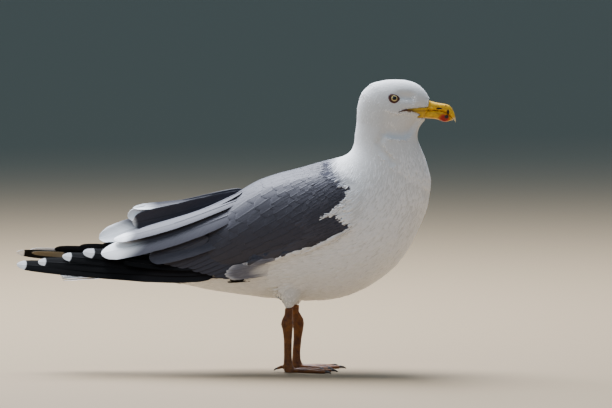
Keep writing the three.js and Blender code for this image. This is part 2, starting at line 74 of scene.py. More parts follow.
def smooth_rows(rows, count):
    """Rows of numbers resampled to `count` rows on a smooth curve through them."""
    rows = np.array(rows, float)
    last = len(rows) - 1
    place = np.linspace(0, last, count)
    start = np.minimum(place.astype(int), last - 1)
    t = (place - start)[:, None]
    a, b = rows[np.maximum(start - 1, 0)], rows[start]
    c, d = rows[start + 1], rows[np.minimum(start + 2, last)]
    return 0.5 * (2 * b + (c - a) * t + (2 * a - 5 * b + 4 * c - d) * t**2 + (3 * b - a - 3 * c + d) * t**3)


def unit(vectors):
    return vectors / np.maximum(np.linalg.norm(vectors, axis=-1, keepdims=True), 1e-12)


def ease(x, start, end):
    """0 before start, 1 past end, with a soft step between."""
    t = np.clip((x - start) / (end - start), 0, 1)
    return t * t * (3 - 2 * t)


def linked(name, mesh):
    made = bpy.data.objects.new(name, mesh)
    bpy.context.scene.collection.objects.link(made)
    return made


def read_rows(source, field, width=3, kind=np.float32):
    """One field of all the items of a mesh's collection, as rows of numbers."""
    flat = np.empty(len(source) * width, kind)
    source.foreach_get(field, flat)
    return flat.reshape(-1, width)


def points_of(mesh):
    return read_rows(mesh.vertices, "co").astype(float)


def normals_of(mesh):
    return read_rows(mesh.vertex_normals, "vector").astype(float)


def edges_of(mesh):
    return read_rows(mesh.edges, "vertices", 2, np.int32)


def move_points(mesh, points):
    mesh.vertices.foreach_set("co", np.ascontiguousarray(points, np.float32).ravel())
    mesh.update()


def relax(values, edges, rounds):
    """Each point's value eased towards its neighbours', for as many rounds as that point asks."""
    values = np.array(values, float)
    flat = values.reshape(len(values), -1)
    rounds = np.broadcast_to(rounds, len(flat))
    a, b = edges.T
    neighbours = np.maximum(np.bincount(edges.ravel(), minlength=len(flat)), 1)
    for step in range(int(rounds.max())):
        asks = rounds > step
        for k in range(flat.shape[1]):
            column = flat[:, k]
            total = np.bincount(a, column[b], len(flat)) + np.bincount(b, column[a], len(flat))
            column[asks] += 0.5 * (total / neighbours - column)[asks]
    return values


def note(mesh, name, values):
    """Keeps one number or one vector for each point of the mesh."""
    values = np.ascontiguousarray(values, np.float32)
    kind, field = ("FLOAT", "value") if values.ndim == 1 else ("FLOAT_VECTOR", "vector")
    mesh.attributes.new(name, kind, "POINT").data.foreach_set(field, values.ravel())


def finished(name, mesh, slot, *nodes):
    """A finished piece of the mesh: smooth shaded, riding on the body and in place of the CAD nodes;
    the slot is not used."""
    mesh.shade_smooth()
    made = linked(name, mesh)
    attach(made, "root")
    if nodes:
        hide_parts(*nodes)


def grid_faces(number, closed=False):
    """Four-cornered faces between neighbours in a numbered grid, whose last column may meet its first."""
    if closed:
        number = np.hstack([number, number[:, :1]])
    corners = [number[:-1, :-1], number[:-1, 1:], number[1:, 1:], number[1:, :-1]]
    return np.stack(corners, -1).reshape(-1, 4)


# ------------------------------------------------------------ finishes
def blank(name):
    """A new material and its empty tree."""
    made = bpy.data.materials.new(name)
    made.use_nodes = True
    made.node_tree.nodes.clear()
    return made, made.node_tree


def small_feather_finish(name, root_tint, tip_tint, edge_tint, dusk_tint, rough, tone_spread, barb_strength):
    """Contour feather keratin, grown as barbs on a shaft: matt and silky, downy grey at the root,
    paler at the worn rim, each feather a shade apart, and dusky where the skin's grey attribute says.
    Barbs are 0.3 mm apart; drawn at 0.9 mm to show."""
    made, tree = blank(name)
    vane = add(tree, "ShaderNodeUVMap", uv_map="vane")
    along = add(tree, "ShaderNodeSeparateXYZ", {0: vane}).outputs[1]
    tone = add(tree, "ShaderNodeAttribute", attribute_name="tone").outputs["Fac"]
    narrow = add(tree, "ShaderNodeVectorMath", {0: vane, 1: (0.3, 1, 0)}, operation="MULTIPLY")
    feeds = {"Vector": narrow, "W": tone, "Scale": 14.0}
    barbs = add(tree, "ShaderNodeTexNoise", feeds, noise_dimensions="4D")
    stops = [(0.1, root_tint), (0.7, tip_tint), (0.88, tip_tint), (1, edge_tint)]
    body = add(tree, "ShaderNodeValToRGB", {0: along}, stops=stops)
    dusk = add(tree, "ShaderNodeAttribute", attribute_name="grey").outputs["Fac"]
    body = add(tree, "ShaderNodeMix", {0: dusk, 6: body, 7: srgb(dusk_tint)}, data_type="RGBA")
    feeds = {"Value": tone, "To Min": 0.95 - tone_spread / 2, "To Max": 0.95 + tone_spread / 2}
    shade = add(tree, "ShaderNodeMapRange", feeds)
    shade = add(tree, "ShaderNodeMath", {0: barbs, 1: 0.1, 2: shade}, operation="MULTIPLY_ADD")
    tinted = add(tree, "ShaderNodeVectorMath", {0: body, "Scale": shade}, operation="SCALE")
    feeds = {"Height": barbs, "Strength": barb_strength, "Distance": 0.4 * MM}
    relief = add(tree, "ShaderNodeBump", feeds)
    feeds = {"Base Color": tinted, "Normal": relief, "Roughness": rough, "Specular IOR Level": 0.25}
    feeds |= {"Sheen Weight": 0.12, "Sheen Roughness": 0.5}
    add(tree, "ShaderNodeOutputMaterial", {0: add(tree, "ShaderNodeBsdfPrincipled", feeds)})
    return made


def large_feather_finish(
    name, tint, inner_tint, shaft_tint, tip_tint, rough, barb_strength, streaked, gloss, sheen
):
    """Flight feather keratin: firm, faintly glossy vanes of slanting barbs either side of a hard shaft.
    Barbs are 0.4 mm apart; drawn at 1.2 to 2.5 mm to show. The barbs attribute holds mm off the shaft, mm
    from the tip and the feather's tone; marks holds mm of pale tip, mm it fades over and mm from the tip to
    the inner tint."""
    made, tree = blank(name)
    sheet = add(tree, "ShaderNodeAttribute", attribute_name="barbs").outputs["Vector"]
    place = add(tree, "ShaderNodeSeparateXYZ", {0: sheet})
    from_tip, tone = place.outputs[1], place.outputs[2]
    marks = add(tree, "ShaderNodeAttribute", attribute_name="marks").outputs["Vector"]
    mark = add(tree, "ShaderNodeSeparateXYZ", {0: marks})
    off_shaft = add(tree, "ShaderNodeMath", {0: place.outputs[0]}, operation="ABSOLUTE")
    # Streaks along the barbs, which run outwards and back from the shaft.
    slanted = add(tree, "ShaderNodeMath", {0: off_shaft, 1: 0.95, 2: from_tip}, operation="MULTIPLY_ADD")
    barb_place = add(tree, "ShaderNodeCombineXYZ", {0: slanted, 1: off_shaft})
    barb_place = add(tree, "ShaderNodeVectorMath", {0: barb_place, 1: (0.03, 0.003, 0)}, operation="MULTIPLY")
    feeds = {"Vector": barb_place, "W": tone, "Scale": 14.0, "Detail": 3.0, "Roughness": 0.6}
    barbs = add(tree, "ShaderNodeTexNoise", feeds, noise_dimensions="4D")
    cloud = add(tree, "ShaderNodeTexNoise", {"Vector": sheet, "Scale": 0.06})
    # Worn streaks 2 mm broad and 25 mm long run on from feather to feather, back and down the wing.
    here = add(tree, "ShaderNodeTexCoord").outputs["Object"]
    feeds = {0: here, "Rotation": (0, -0.6, 0), "Scale": (25 * MM, 2.2 * MM, 2.2 * MM)}
    drawn_out = add(tree, "ShaderNodeMapping", feeds, vector_type="TEXTURE")
    streaks = add(tree, "ShaderNodeTexNoise", {"Vector": drawn_out, "Scale": 1.0, "Detail": 3.0})
    # The inner tint takes over gradually towards the root.
    inner = add(tree, "ShaderNodeMath", {0: from_tip, 1: mark.outputs[2]}, operation="SUBTRACT")
    feeds = {"Value": inner, "From Max": 25.0}
    inner = add(tree, "ShaderNodeMapRange", feeds, interpolation_type="SMOOTHSTEP")
    body = add(tree, "ShaderNodeMix", {0: inner, 6: srgb(tint), 7: srgb(inner_tint)}, data_type="RGBA")
    shade = add(tree, "ShaderNodeMath", {0: barbs, 1: 0.24, 2: 0.76 - streaked / 2}, operation="MULTIPLY_ADD")
    shade = add(tree, "ShaderNodeMath", {0: cloud, 1: 0.18, 2: shade}, operation="MULTIPLY_ADD")
    shade = add(tree, "ShaderNodeMath", {0: streaks, 1: streaked, 2: shade}, operation="MULTIPLY_ADD")
    shade = add(tree, "ShaderNodeMath", {0: tone, 1: 0.05, 2: shade}, operation="MULTIPLY_ADD")
    body = add(tree, "ShaderNodeVectorMath", {0: body, "Scale": shade}, operation="SCALE")
    # The pale tip reaches further back beside the shaft and is frayed along the barbs.
    reach = add(tree, "ShaderNodeMath", {0: off_shaft, 1: 2.0}, operation="POWER")
    reach = add(tree, "ShaderNodeMath", {0: reach, 1: 0.05, 2: from_tip}, operation="MULTIPLY_ADD")
    reach = add(tree, "ShaderNodeMath", {0: barbs, 1: 3.0, 2: reach}, operation="MULTIPLY_ADD")
    past = add(tree, "ShaderNodeMath", {0: reach, 1: mark.outputs[0]}, operation="SUBTRACT")
    feeds = {"Value": past, "From Max": mark.outputs[1], "To Min": 1.0, "To Max": 0.0}
    tip = add(tree, "ShaderNodeMapRange", feeds, interpolation_type="SMOOTHSTEP")
    body = add(tree, "ShaderNodeMix", {0: tip, 6: body, 7: srgb(tip_tint)}, data_type="RGBA")
    feeds = {"Value": off_shaft, "From Min": 0.35, "From Max": 0.75, "To Min": 0.6, "To Max": 0.0}
    shaft = add(tree, "ShaderNodeMapRange", feeds, interpolation_type="SMOOTHSTEP")
    bare_of_tip = add(tree, "ShaderNodeMath", {0: 1.0, 1: tip}, operation="SUBTRACT")
    shaft = add(tree, "ShaderNodeMath", {0: shaft, 1: bare_of_tip}, operation="MULTIPLY")
    body = add(tree, "ShaderNodeMix", {0: shaft, 6: body, 7: srgb(shaft_tint)}, data_type="RGBA")
    feeds = {"Height": barbs, "Strength": barb_strength, "Distance": 0.35 * MM}
    relief = add(tree, "ShaderNodeBump", feeds)
    feeds = {"Base Color": body, "Normal": relief, "Roughness": rough, "Specular IOR Level": gloss}
    feeds |= {"Sheen Weight": sheen, "Sheen Roughness": 0.5}
    add(tree, "ShaderNodeOutputMaterial", {0: add(tree, "ShaderNodeBsdfPrincipled", feeds)})
    return made


def skin_finish():
    """Skin under down: a dull, soft, clumped ground, white below, smoke grey under the grey coat and
    horn brown where it shows bare round the bill."""
    made, tree = blank("downy_skin")
    under_grey = add(tree, "ShaderNodeAttribute", attribute_name="grey").outputs["Fac"]
    here = add(tree, "ShaderNodeTexCoord").outputs["Object"]
    down = add(tree, "ShaderNodeTexNoise", {"Vector": here, "Scale": 1 / (2.5 * MM), "Detail": 4.0})
    tints = {0: under_grey, 6: srgb("#dddcd9"), 7: srgb("#3d3d45")}
    body = add(tree, "ShaderNodeMix", tints, data_type="RGBA")
    bare_skin = add(tree, "ShaderNodeAttribute", attribute_name="bare").outputs["Fac"]
    body = add(tree, "ShaderNodeMix", {0: bare_skin, 6: body, 7: srgb("#5a3d12")}, data_type="RGBA")
    shade = add(tree, "ShaderNodeMath", {0: down, 1: 0.2, 2: 0.88}, operation="MULTIPLY_ADD")
    tinted = add(tree, "ShaderNodeVectorMath", {0: body, "Scale": shade}, operation="SCALE")
    relief = add(tree, "ShaderNodeBump", {"Height": down, "Strength": 0.4, "Distance": 0.8 * MM})
    feeds = {"Base Color": tinted, "Normal": relief, "Roughness": 0.95, "Specular IOR Level": 0.1}
    add(tree, "ShaderNodeOutputMaterial", {0: add(tree, "ShaderNodeBsdfPrincipled", feeds)})
    return made


# Markings of the bill in the side view: x and z of the middle, half breadth and half height in mm,
# how far out it is still full and where it ends, as shares of those, and its tint.
BILL_MARKS = [
    (286.5, 327.5, 5, 6, 0.5, 1.1, "#e3cf9a"),  # the worn, almost bare tip
    (272.2, 331.6, 8.0, 6.4, 0.6, 1.15, "#b8480a"),  # the lower angle, orange
    (272.8, 331.0, 5.6, 5.0, 0.6, 1.15, "#9c1204"),  # its red spot
    (275.4, 333.4, 2.9, 2.7, 0.6, 1.1, "#1f2023"),  # a dark scar in it
    (277.4, 339.8, 2.2, 3.6, 0.6, 1.2, "#1d1412"),  # a scuff on the upper bill
    (274.6, 347.6, 1.9, 1.0, 0.4, 1.2, "#7a2c14"),
    # the nostril's mark is painted near black as painted shade inside the slit
    (266.0, 344.2, 4.9, 1.6, 0.6, 1.0, "#0b0604"),  # the nostril
    (214, 341.0, 21, 6, 0.55, 1.1, "#431508"),  # the dark corner of the mouth
    (236, 341.45, 21, 0.5, 0.6, 1.1, "#5d4708"),  # the line of the closed mouth
]
NOSTRIL = (266.0, 344.2)


def bill_finish():
    """Bill horn, a waxy keratin sheath worn smooth: satin with fine growth lines lengthwise, deep yellow,
    a red spot at the lower angle, brown scuffs near the tip and a pale, almost bare tip."""
    made, tree = blank("bill_horn")
    here = add(tree, "ShaderNodeTexCoord").outputs["Object"]
    # Growth lines run along the bill, about 0.9 mm apart and 11 mm long.
    drawn_out = add(tree, "ShaderNodeVectorMath", {0: here, 1: (0.08, 1, 1)}, operation="MULTIPLY")
    lines = add(tree, "ShaderNodeTexNoise", {"Vector": drawn_out, "Scale": 1 / (0.9 * MM), "Detail": 3.0})
    stain = add(tree, "ShaderNodeTexNoise", {"Vector": here, "Scale": 1 / (5 * MM), "Detail": 3.0})
    body = add(tree, "ShaderNodeValToRGB", {0: stain}, stops=[(0.3, "#c08a00"), (0.7, "#f7c408")])
    # Greener yellow towards the face.
    forward = add(tree, "ShaderNodeSeparateXYZ", {0: here}).outputs[0]
    greener = add(tree, "ShaderNodeMapRange", {"Value": forward, "From Min": 0.254, "From Max": 0.232})
    body = add(tree, "ShaderNodeMix", {0: greener, 6: body, 7: srgb("#a88a0c")}, data_type="RGBA")
    blurred = add(tree, "ShaderNodeMath", {0: stain, 1: 0.5, 2: -0.25}, operation="MULTIPLY_ADD")
    for x, z, wide, high, full, end, tint in BILL_MARKS:
        feeds = {0: here, 1: (1 / (wide * MM), 0, 1 / (high * MM)), 2: (-x / wide, 0, -z / high)}
        off = add(tree, "ShaderNodeVectorMath", feeds, operation="MULTIPLY_ADD")
        off = add(tree, "ShaderNodeVectorMath", {0: off}, operation="LENGTH")
        off = add(tree, "ShaderNodeMath", {0: off, 1: blurred}, operation="ADD")
        feeds = {"Value": off, "From Min": end, "From Max": full}
        share = add(tree, "ShaderNodeMapRange", feeds, interpolation_type="SMOOTHSTEP")
        body = add(tree, "ShaderNodeMix", {0: share, 6: body, 7: srgb(tint)}, data_type="RGBA")
    shade = add(tree, "ShaderNodeMath", {0: lines, 1: 0.36, 2: 0.8}, operation="MULTIPLY_ADD")
    tinted = add(tree, "ShaderNodeVectorMath", {0: body, "Scale": shade}, operation="SCALE")
    rough = add(tree, "ShaderNodeMath", {0: stain, 1: 0.2, 2: 0.28}, operation="MULTIPLY_ADD")
    relief = add(tree, "ShaderNodeBump", {"Height": lines, "Strength": 0.25, "Distance": 0.25 * MM})
    feeds = {"Base Color": tinted, "Normal": relief, "Roughness": rough, "Specular IOR Level": 0.4}
    feeds |= {"Coat Weight": 0.08, "Coat Roughness": 0.25}
    add(tree, "ShaderNodeOutputMaterial", {0: add(tree, "ShaderNodeBsdfPrincipled", feeds)})
    return made


def eye_finish():
    """A wet eyeball: clear glossy surface over a black pupil and a pale straw iris flecked outwards. The
    gaze attribute holds mm off the line of sight, across and up, and how far in all."""
    made, tree = blank("wet_eye")
    gaze = add(tree, "ShaderNodeAttribute", attribute_name="gaze").outputs["Vector"]
    outward = add(tree, "ShaderNodeSeparateXYZ", {0: gaze}).outputs[2]
    around = add(tree, "ShaderNodeVectorMath", {0: gaze}, operation="NORMALIZE")
    flecks = add(tree, "ShaderNodeTexNoise", {"Vector": around, "Scale": 9.0, "Detail": 3.0})
    iris = add(tree, "ShaderNodeValToRGB", {0: flecks}, stops=[(0.3, "#b08d45"), (0.7, "#ecdca0")])
    # Rings out from the middle: black pupil, pale iris, brown rim, then dark under the lids.
    ball = add(tree, "ShaderNodeMapRange", {"Value": outward, "From Min": 2.6, "From Max": 2.8})
    ball = add(tree, "ShaderNodeMix", {0: ball, 6: srgb("#050505"), 7: iris}, data_type="RGBA")
    rim = add(tree, "ShaderNodeMapRange", {"Value": outward, "From Min": 3.7, "From Max": 4.5})
    ball = add(tree, "ShaderNodeMix", {0: rim, 6: ball, 7: srgb("#3d2410")}, data_type="RGBA")
    feeds = {"Base Color": ball, "Roughness": 0.12, "Specular IOR Level": 0.3}
    feeds |= {"Coat Weight": 0.4, "Coat Roughness": 0.03}
    add(tree, "ShaderNodeOutputMaterial", {0: add(tree, "ShaderNodeBsdfPrincipled", feeds)})
    return made


def bare_skin_finish(name, deep_tint, light_tint, cell_mm, rough, strength):
    """Bare scaly skin, dry and waxy: raised scales, with painted shade darkening the creases between them."""
    made, tree = blank(name)
    here = add(tree, "ShaderNodeTexCoord").outputs["Object"]
    feeds = {"Vector": here, "Scale": 1 / (cell_mm * MM), "Randomness": 0.8}
    scale = add(tree, "ShaderNodeTexVoronoi", feeds, feature="DISTANCE_TO_EDGE")
    feeds = {"Value": scale, "From Max": 0.22}
    raised = add(tree, "ShaderNodeMapRange", feeds, interpolation_type="SMOOTHSTEP")
    stain = add(tree, "ShaderNodeTexNoise", {"Vector": here, "Scale": 1 / (7 * MM), "Detail": 3.0})
    body = add(tree, "ShaderNodeValToRGB", {0: stain}, stops=[(0.3, deep_tint), (0.7, light_tint)])
    # Brightness falls to 0.6 in the creases between scales: painted shade.
    shade = add(tree, "ShaderNodeMath", {0: raised, 1: 0.4, 2: 0.6}, operation="MULTIPLY_ADD")
    tinted = add(tree, "ShaderNodeVectorMath", {0: body, "Scale": shade}, operation="SCALE")
    relief = add(tree, "ShaderNodeBump", {"Height": raised, "Strength": strength, "Distance": 0.3 * MM})
    feeds = {"Base Color": tinted, "Normal": relief, "Roughness": rough, "Specular IOR Level": 0.4}
    add(tree, "ShaderNodeOutputMaterial", {0: add(tree, "ShaderNodeBsdfPrincipled", feeds)})
    return made


def claw_finish():
    """Claw horn, keratin worn by walking: black brown with browner patches, satin, scratched."""
    made, tree = blank("claw_horn")
    here = add(tree, "ShaderNodeTexCoord").outputs["Object"]
    scratched = add(tree, "ShaderNodeTexNoise", {"Vector": here, "Scale": 1 / (1.2 * MM), "Detail": 4.0})
    body = add(tree, "ShaderNodeValToRGB", {0: scratched}, stops=[(0.3, "#120e0c"), (0.7, "#3a2d25")])
    rough = add(tree, "ShaderNodeMath", {0: scratched, 1: 0.3, 2: 0.2}, operation="MULTIPLY_ADD")
    relief = add(tree, "ShaderNodeBump", {"Height": scratched, "Strength": 0.3, "Distance": 0.15 * MM})
    feeds = {"Base Color": body, "Normal": relief, "Roughness": rough, "Coat Weight": 0.1}
    add(tree, "ShaderNodeOutputMaterial", {0: add(tree, "ShaderNodeBsdfPrincipled", feeds)})
    return made


# root, tip, rim, dusky tint, roughness, spread of tone, barb relief
CONTOURS = {
    "white": ("#e6e5e3", "#f4f3f2", "#f6f5f4", "#75757f", 0.8, 0.02, 0.15),
    "grey": ("#3a3942", "#44434c", "#46454e", "#44434c", 0.6, 0.05, 0.3),
}
plumage = {}
for name, values in CONTOURS.items():
    plumage[name] = small_feather_finish(name + "_contour_feathers", *values)
# tint, inner tint, shaft, pale tip, roughness, barb relief, streaks, gloss, sheen
VANES = {
    "grey_flight_feathers": ("#3b3a43", "#34333b", "#2a292f", "#f4f4f3", 0.6, 0.35, 0.36, 0.3, 0.15),
    "black_flight_feathers": ("#030203", "#1a191c", "#030202", "#f0efee", 0.6, 0.4, 0.2, 0.12, 0.0),
    # the far wing's white patch, tinted brown-grey as painted shade
    "shade_painted_mirror_feather": ("#050405", "#1a191c", "#2a2420", "#766850", 0.6, 0.4, 0.1, 0.12, 0.0),
    "white_tail_feathers": ("#f4f3f1", "#e8e7e5", "#d9d3c4", "#f6f5f3", 0.65, 0.3, 0.1, 0.3, 0.05),
    # the flank tuft's feathers are white; the grey towards their ends and their grey tips are painted shade
    # under the wing's edge
    "shade_painted_flank_feathers": ("#73737c", "#dddcda", "#63626b", "#c6c5c8", 0.7, 0.5, 0.6, 0.3, 0.1),
    "white_flank_feathers": ("#e4e3e1", "#efeeec", "#dddbd8", "#f6f5f4", 0.75, 0.4, 0.2, 0.25, 0.1),
}
vanes = {name: large_feather_finish(name, *values) for name, values in VANES.items()}
downy_skin = skin_finish()
bill_horn = bill_finish()
wet_eye = eye_finish()
lid_skin = bare_skin_finish("lid_skin", "#330d06", "#5e1c0d", 0.8, 0.5, 0.3)
# Leg tints: the legs' own yellow-orange skin, darkened towards brown as painted shade under the body.
leg_skin = bare_skin_finish("leg_skin", "#54290a", "#8a5216", 1.6, 0.5, 0.5)
claw_horn = claw_finish()

# ------------------------------------------------------------ the body's line and markings
# All rows of places below are in millimetres.

# The middle of the body from the bill's base to the tail, x and z. Feathers lie along it.
BODY_LINE = smooth_rows(
    [(262, 338), (254, 343), (243, 352), (223, 355), (207, 347), (199, 334), (198, 318)]
    + [(202, 299), (205, 281), (203, 260), (195, 236), (178, 211), (155, 195), (122, 184)]
    + [(78, 178), (24, 172), (-23, 160), (-63, 142), (-107, 132), (-160, 128), (-230, 124)],
    260,
)
LINE_BLUR = 18.0  # a place takes its direction from the stretches of line that are nearest, give or take this
BODY_LINE_RUN = np.concatenate([[0], np.cumsum(np.linalg.norm(np.diff(BODY_LINE, axis=0), axis=1))])

# The grey back and wing seen from the side: x and z along its front and lower edge, nape to rump.
GREY_EDGE = [(116, 300), (119, 280), (119, 262), (128, 250), (144, 241), (142, 233), (137, 224)]
GREY_EDGE += [(124, 215), (112, 206), (107, 201), (117, 205.5), (128, 206), (136, 199), (145, 191)]
GREY_EDGE += [(137, 185), (129, 179.5), (117, 175.5), (98, 166.5), (75, 159)]
GREY_EDGE += [(52, 150), (37, 144), (4, 140), (-12, 131), (-22, 122), (-140, 122), (-140, 300)]


def beside_body_line(places):
    """Run along the body line, direction of lie and angle round the line, for places in metres."""
    flat = places / MM
    away = np.linalg.norm(flat[:, None, [0, 2]] - BODY_LINE[None], axis=2)
    along = np.gradient(BODY_LINE, axis=0)
    weight = np.exp(-(away**2 - away.min(1, keepdims=True) ** 2) / (2 * LINE_BLUR**2))
    weight /= weight.sum(1, keepdims=True)
    run = weight @ BODY_LINE_RUN
    lie = unit(weight @ along)
    middle = weight @ BODY_LINE
    off = flat[:, [0, 2]] - middle
    above = off[:, 0] * -lie[:, 1] + off[:, 1] * lie[:, 0]
    angle = np.arctan2(flat[:, 1], -above)
    return run, np.column_stack([lie[:, 0], np.zeros(len(flat)), lie[:, 1]]), angle


# ------------------------------------------------------------ the skin
FLESH = ["trunk", "neck", "head", "thigh_right", "thigh_left", "wing_right", "wing_left"]
EYES = ["eye_right", "eye_left"]
EYE_X, EYE_Z, EYE_RADIUS = 206.6, 357.9, 7.0
LID_COVER = (6.7, 5.3)  # half length and half height round the eye that the lids cover
PARTS = ["trunk", "neck", "head", "thigh", "wing"]
# For each part: coat depth in mm that the skin lies under, and rounds of smoothing it gets.
COAT_DEPTH = {"trunk": 1.4, "neck": 1.2, "head": 0.6, "thigh": 1.0, "wing": 1.3}
SMOOTHING = {"trunk": 80, "neck": 50, "head": 24, "thigh": 14, "wing": 14}
SHOULDER = (200, 60)  # above this height the wing gets these rounds, to run into the back
EYE_SEAT = (207.4, 357.6, 9.0, 120)  # middle and radius of the face's flat round the eye, and its rounds
SKIN_VOXEL = 2.0
BILL_SUNK = 1.6  # how far the skin lies under the bare horn


def joined_copy(name, nodes, swell):
    """One mesh of the nodes' solids with their doubles merged, swollen to close the cuts between them."""
    shape = bmesh.new()
    for node in nodes:
        shape.from_mesh(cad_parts[node].data)
    bmesh.ops.remove_doubles(shape, verts=shape.verts, dist=1e-5)
    shape.normal_update()
    for v in shape.verts:
        v.co += v.normal * swell * MM
    mesh = bpy.data.meshes.new(name)
    shape.to_mesh(mesh)
    shape.free()
    return mesh


def plain_mesh(obj, name):
    """The object's mesh with its modifiers applied; the object itself goes."""
    bpy.context.view_layer.update()
    seen = obj.evaluated_get(bpy.context.evaluated_depsgraph_get())
    mesh = bpy.data.meshes.new_from_object(seen)
    mesh.name = name
    old = obj.data
    bpy.data.objects.remove(obj)
    if old.users == 0:
        bpy.data.meshes.remove(old)
    return mesh


def made_whole(name, nodes, voxel, swell=0.5):
    """One closed surface round the nodes' solids, with even small faces and no inner shells."""
    source = linked(name, joined_copy(name, nodes, swell))
    cover = source.modifiers.new("whole", "REMESH")
    cover.mode = "VOXEL"
    cover.voxel_size = voxel * MM
    mesh = plain_mesh(source, name)
    edges = edges_of(mesh)
    island = np.arange(len(mesh.vertices))
    while True:
        lower = island.copy()
        np.minimum.at(lower, edges[:, 0], island[edges[:, 1]])
        np.minimum.at(lower, edges[:, 1], island[edges[:, 0]])
        lower = lower[lower]
        if (lower == island).all():
            break
        island = lower
    spare = np.nonzero(island != np.bincount(island).argmax())[0]
    shape = bmesh.new()
    shape.from_mesh(mesh)
    shape.verts.ensure_lookup_table()
    bmesh.ops.delete(shape, geom=[shape.verts[i] for i in spare], context="VERTS")
    shape.to_mesh(mesh)
    shape.free()
    return mesh


def nearest_parts(points):
    """For each place the body part whose solid is nearest."""
    triangles, owner, corners = [], [], []
    for node in FLESH:
        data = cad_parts[node].data
        start = len(corners)
        corners += [v.co.copy() for v in data.vertices]
        for face in data.polygons:
            triangles.append([start + i for i in face.vertices])
            owner.append(PARTS.index(node.split("_")[0]))
    tree = BVHTree.FromPolygons(corners, triangles)
    return np.array([owner[tree.find_nearest(Vector(p))[2]] for p in points])


skin_mesh = made_whole("skin", FLESH + EYES, SKIN_VOXEL)
skin_edges = edges_of(skin_mesh)
skin_points = points_of(skin_mesh)
part = nearest_parts(skin_points)
on = {name: part == i for i, name in enumerate(PARTS)}
rounds = np.array([SMOOTHING[name] for name in PARTS])[part]
x, y, z = (skin_points / MM).T
rounds[on["wing"] & (z > SHOULDER[0])] = SHOULDER[1]
rounds = relax(rounds.astype(float), skin_edges, 6).astype(int)
rounds[np.hypot(x - EYE_SEAT[0], z - EYE_SEAT[1]) < EYE_SEAT[2]] = EYE_SEAT[3]
skin_points = relax(skin_points, skin_edges, rounds)
move_points(skin_mesh, skin_points)
depth = relax(np.array([COAT_DEPTH[name] for name in PARTS])[part], skin_edges, 8)
skin_points = skin_points - normals_of(skin_mesh) * depth[:, None] * MM
move_points(skin_mesh, relax(skin_points, skin_edges, 2))

# Folds pressed into the skin, the same on both sides: line in x and z, depth and breadth in mm.
FOLDS = [
    ([(190, 313.5), (200, 310.5), (209.5, 308.5), (221.4, 308.5), (229, 312), (234.5, 318)], 1.2, 2.4),
    ([(193, 311), (186, 300), (191, 290), (201, 281), (204, 275)], 2.2, 3.6),
    ([(216, 361), (228, 360)], 3.2, 5.2),
    ([(206, 333), (222, 336), (236, 331)], 0.7, 4.0),
]
# The jaw's lower line, which the throat hollow ends on, and how deep and high the hollow is above it.
JAW_LINE = np.array([(185, 315), (200, 310.5), (209.5, 308.5), (221.4, 308.5), (229, 312), (238, 321)])
THROAT_DEPTH, THROAT_HEIGHT = 6.5, 32
THROAT_HIND, THROAT_FRONT = (184, 204), (236, 250)  # where along x it sets in and runs out


def off_line(line, x, z):
    """Distance in the side view of each place from a line of points."""
    away = np.full(len(x), 1e9)
    for (x0, z0), (x1, z1) in zip(line, line[1:]):
        run, climb = x1 - x0, z1 - z0
        t = np.clip(((x - x0) * run + (z - z0) * climb) / (run**2 + climb**2), 0, 1)
        away = np.minimum(away, np.hypot(x - x0 - t * run, z - z0 - t * climb))
    return away


def pressed(mesh):
    """The skin's points with the folds pressed in and the throat hollowed under the jaw."""
    points, normals = points_of(mesh), normals_of(mesh)
    x, y, z = (points / MM).T
    sideways = ease(np.abs(normals[:, 1]), 0.25, 0.65)
    deep = np.zeros(len(x))
    for line, depth, breadth in FOLDS:
        deep += depth * np.exp(-((off_line(line, x, z) / breadth) ** 2))
    over_jaw = z - np.interp(x, *JAW_LINE.T)
    hollow = ease(over_jaw, -4.0, 5.5) * np.clip(1 - over_jaw / THROAT_HEIGHT, 0, 1)
    deep += THROAT_DEPTH * hollow * ease(x, *THROAT_HIND) * (1 - ease(x, *THROAT_FRONT))
    return points - normals * (deep * sideways)[:, None] * MM


skin_points = pressed(skin_mesh)
move_points(skin_mesh, relax(skin_points, skin_edges, 1))
skin_points = points_of(skin_mesh)

# The bare outline of the bill and gape in the side view, x and z: feathers stop at it.
BARE_BILL = [(258, 361), (256.5, 355), (255.2, 350), (253.6, 346.2), (246, 345.3), (236, 345.0)]
BARE_BILL += [(226, 344.3), (219, 343.4), (213.5, 340.4), (219, 341.8), (226, 341.0), (232, 340.4)]
BARE_BILL += [(237, 339.0), (241.7, 336.4), (236.5, 332.6), (243, 331.6), (252, 331.4)]
BARE_BILL += [(300, 325), (300, 362)]


def inside(outline, x, z):
    """Which of the places x, z lie inside a closed outline."""
    outline = np.array(outline, float)
    found = np.zeros(len(x), bool)
    for (x0, z0), (x1, z1) in zip(outline, np.roll(outline, -1, axis=0)):
        crosses = (z0 > z) != (z1 > z)
        found ^= crosses & (x < (x1 - x0) * (z - z0) / (z1 - z0 + 1e-9) + x0)
    return found


def surface_of(mesh):
    faces = [list(p.vertices) for p in mesh.polygons]
    return BVHTree.FromPolygons([v.co.copy() for v in mesh.vertices], faces)


def side_breadth(surface, x, z):
    """How far out from the middle plane the surface lies at x, z, all in mm; 0 where it isn't."""
    hit = surface.ray_cast(Vector((x, -200, z)) * MM, Vector((0, 1, 0)))[0]
    return -hit.y / MM if hit else 0.0


face_surface = surface_of(skin_mesh)
x, y, z = (skin_points / MM).T
sunk = inside(BARE_BILL, x, z) & on["head"]
sunk = relax(sunk.astype(float), skin_edges, 1)
skin_points = skin_points - normals_of(skin_mesh) * (BILL_SUNK * sunk)[:, None] * MM
move_points(skin_mesh, skin_points)

skin_run, lie, skin_angle = beside_body_line(skin_points)
x, y, z = (skin_points / MM).T
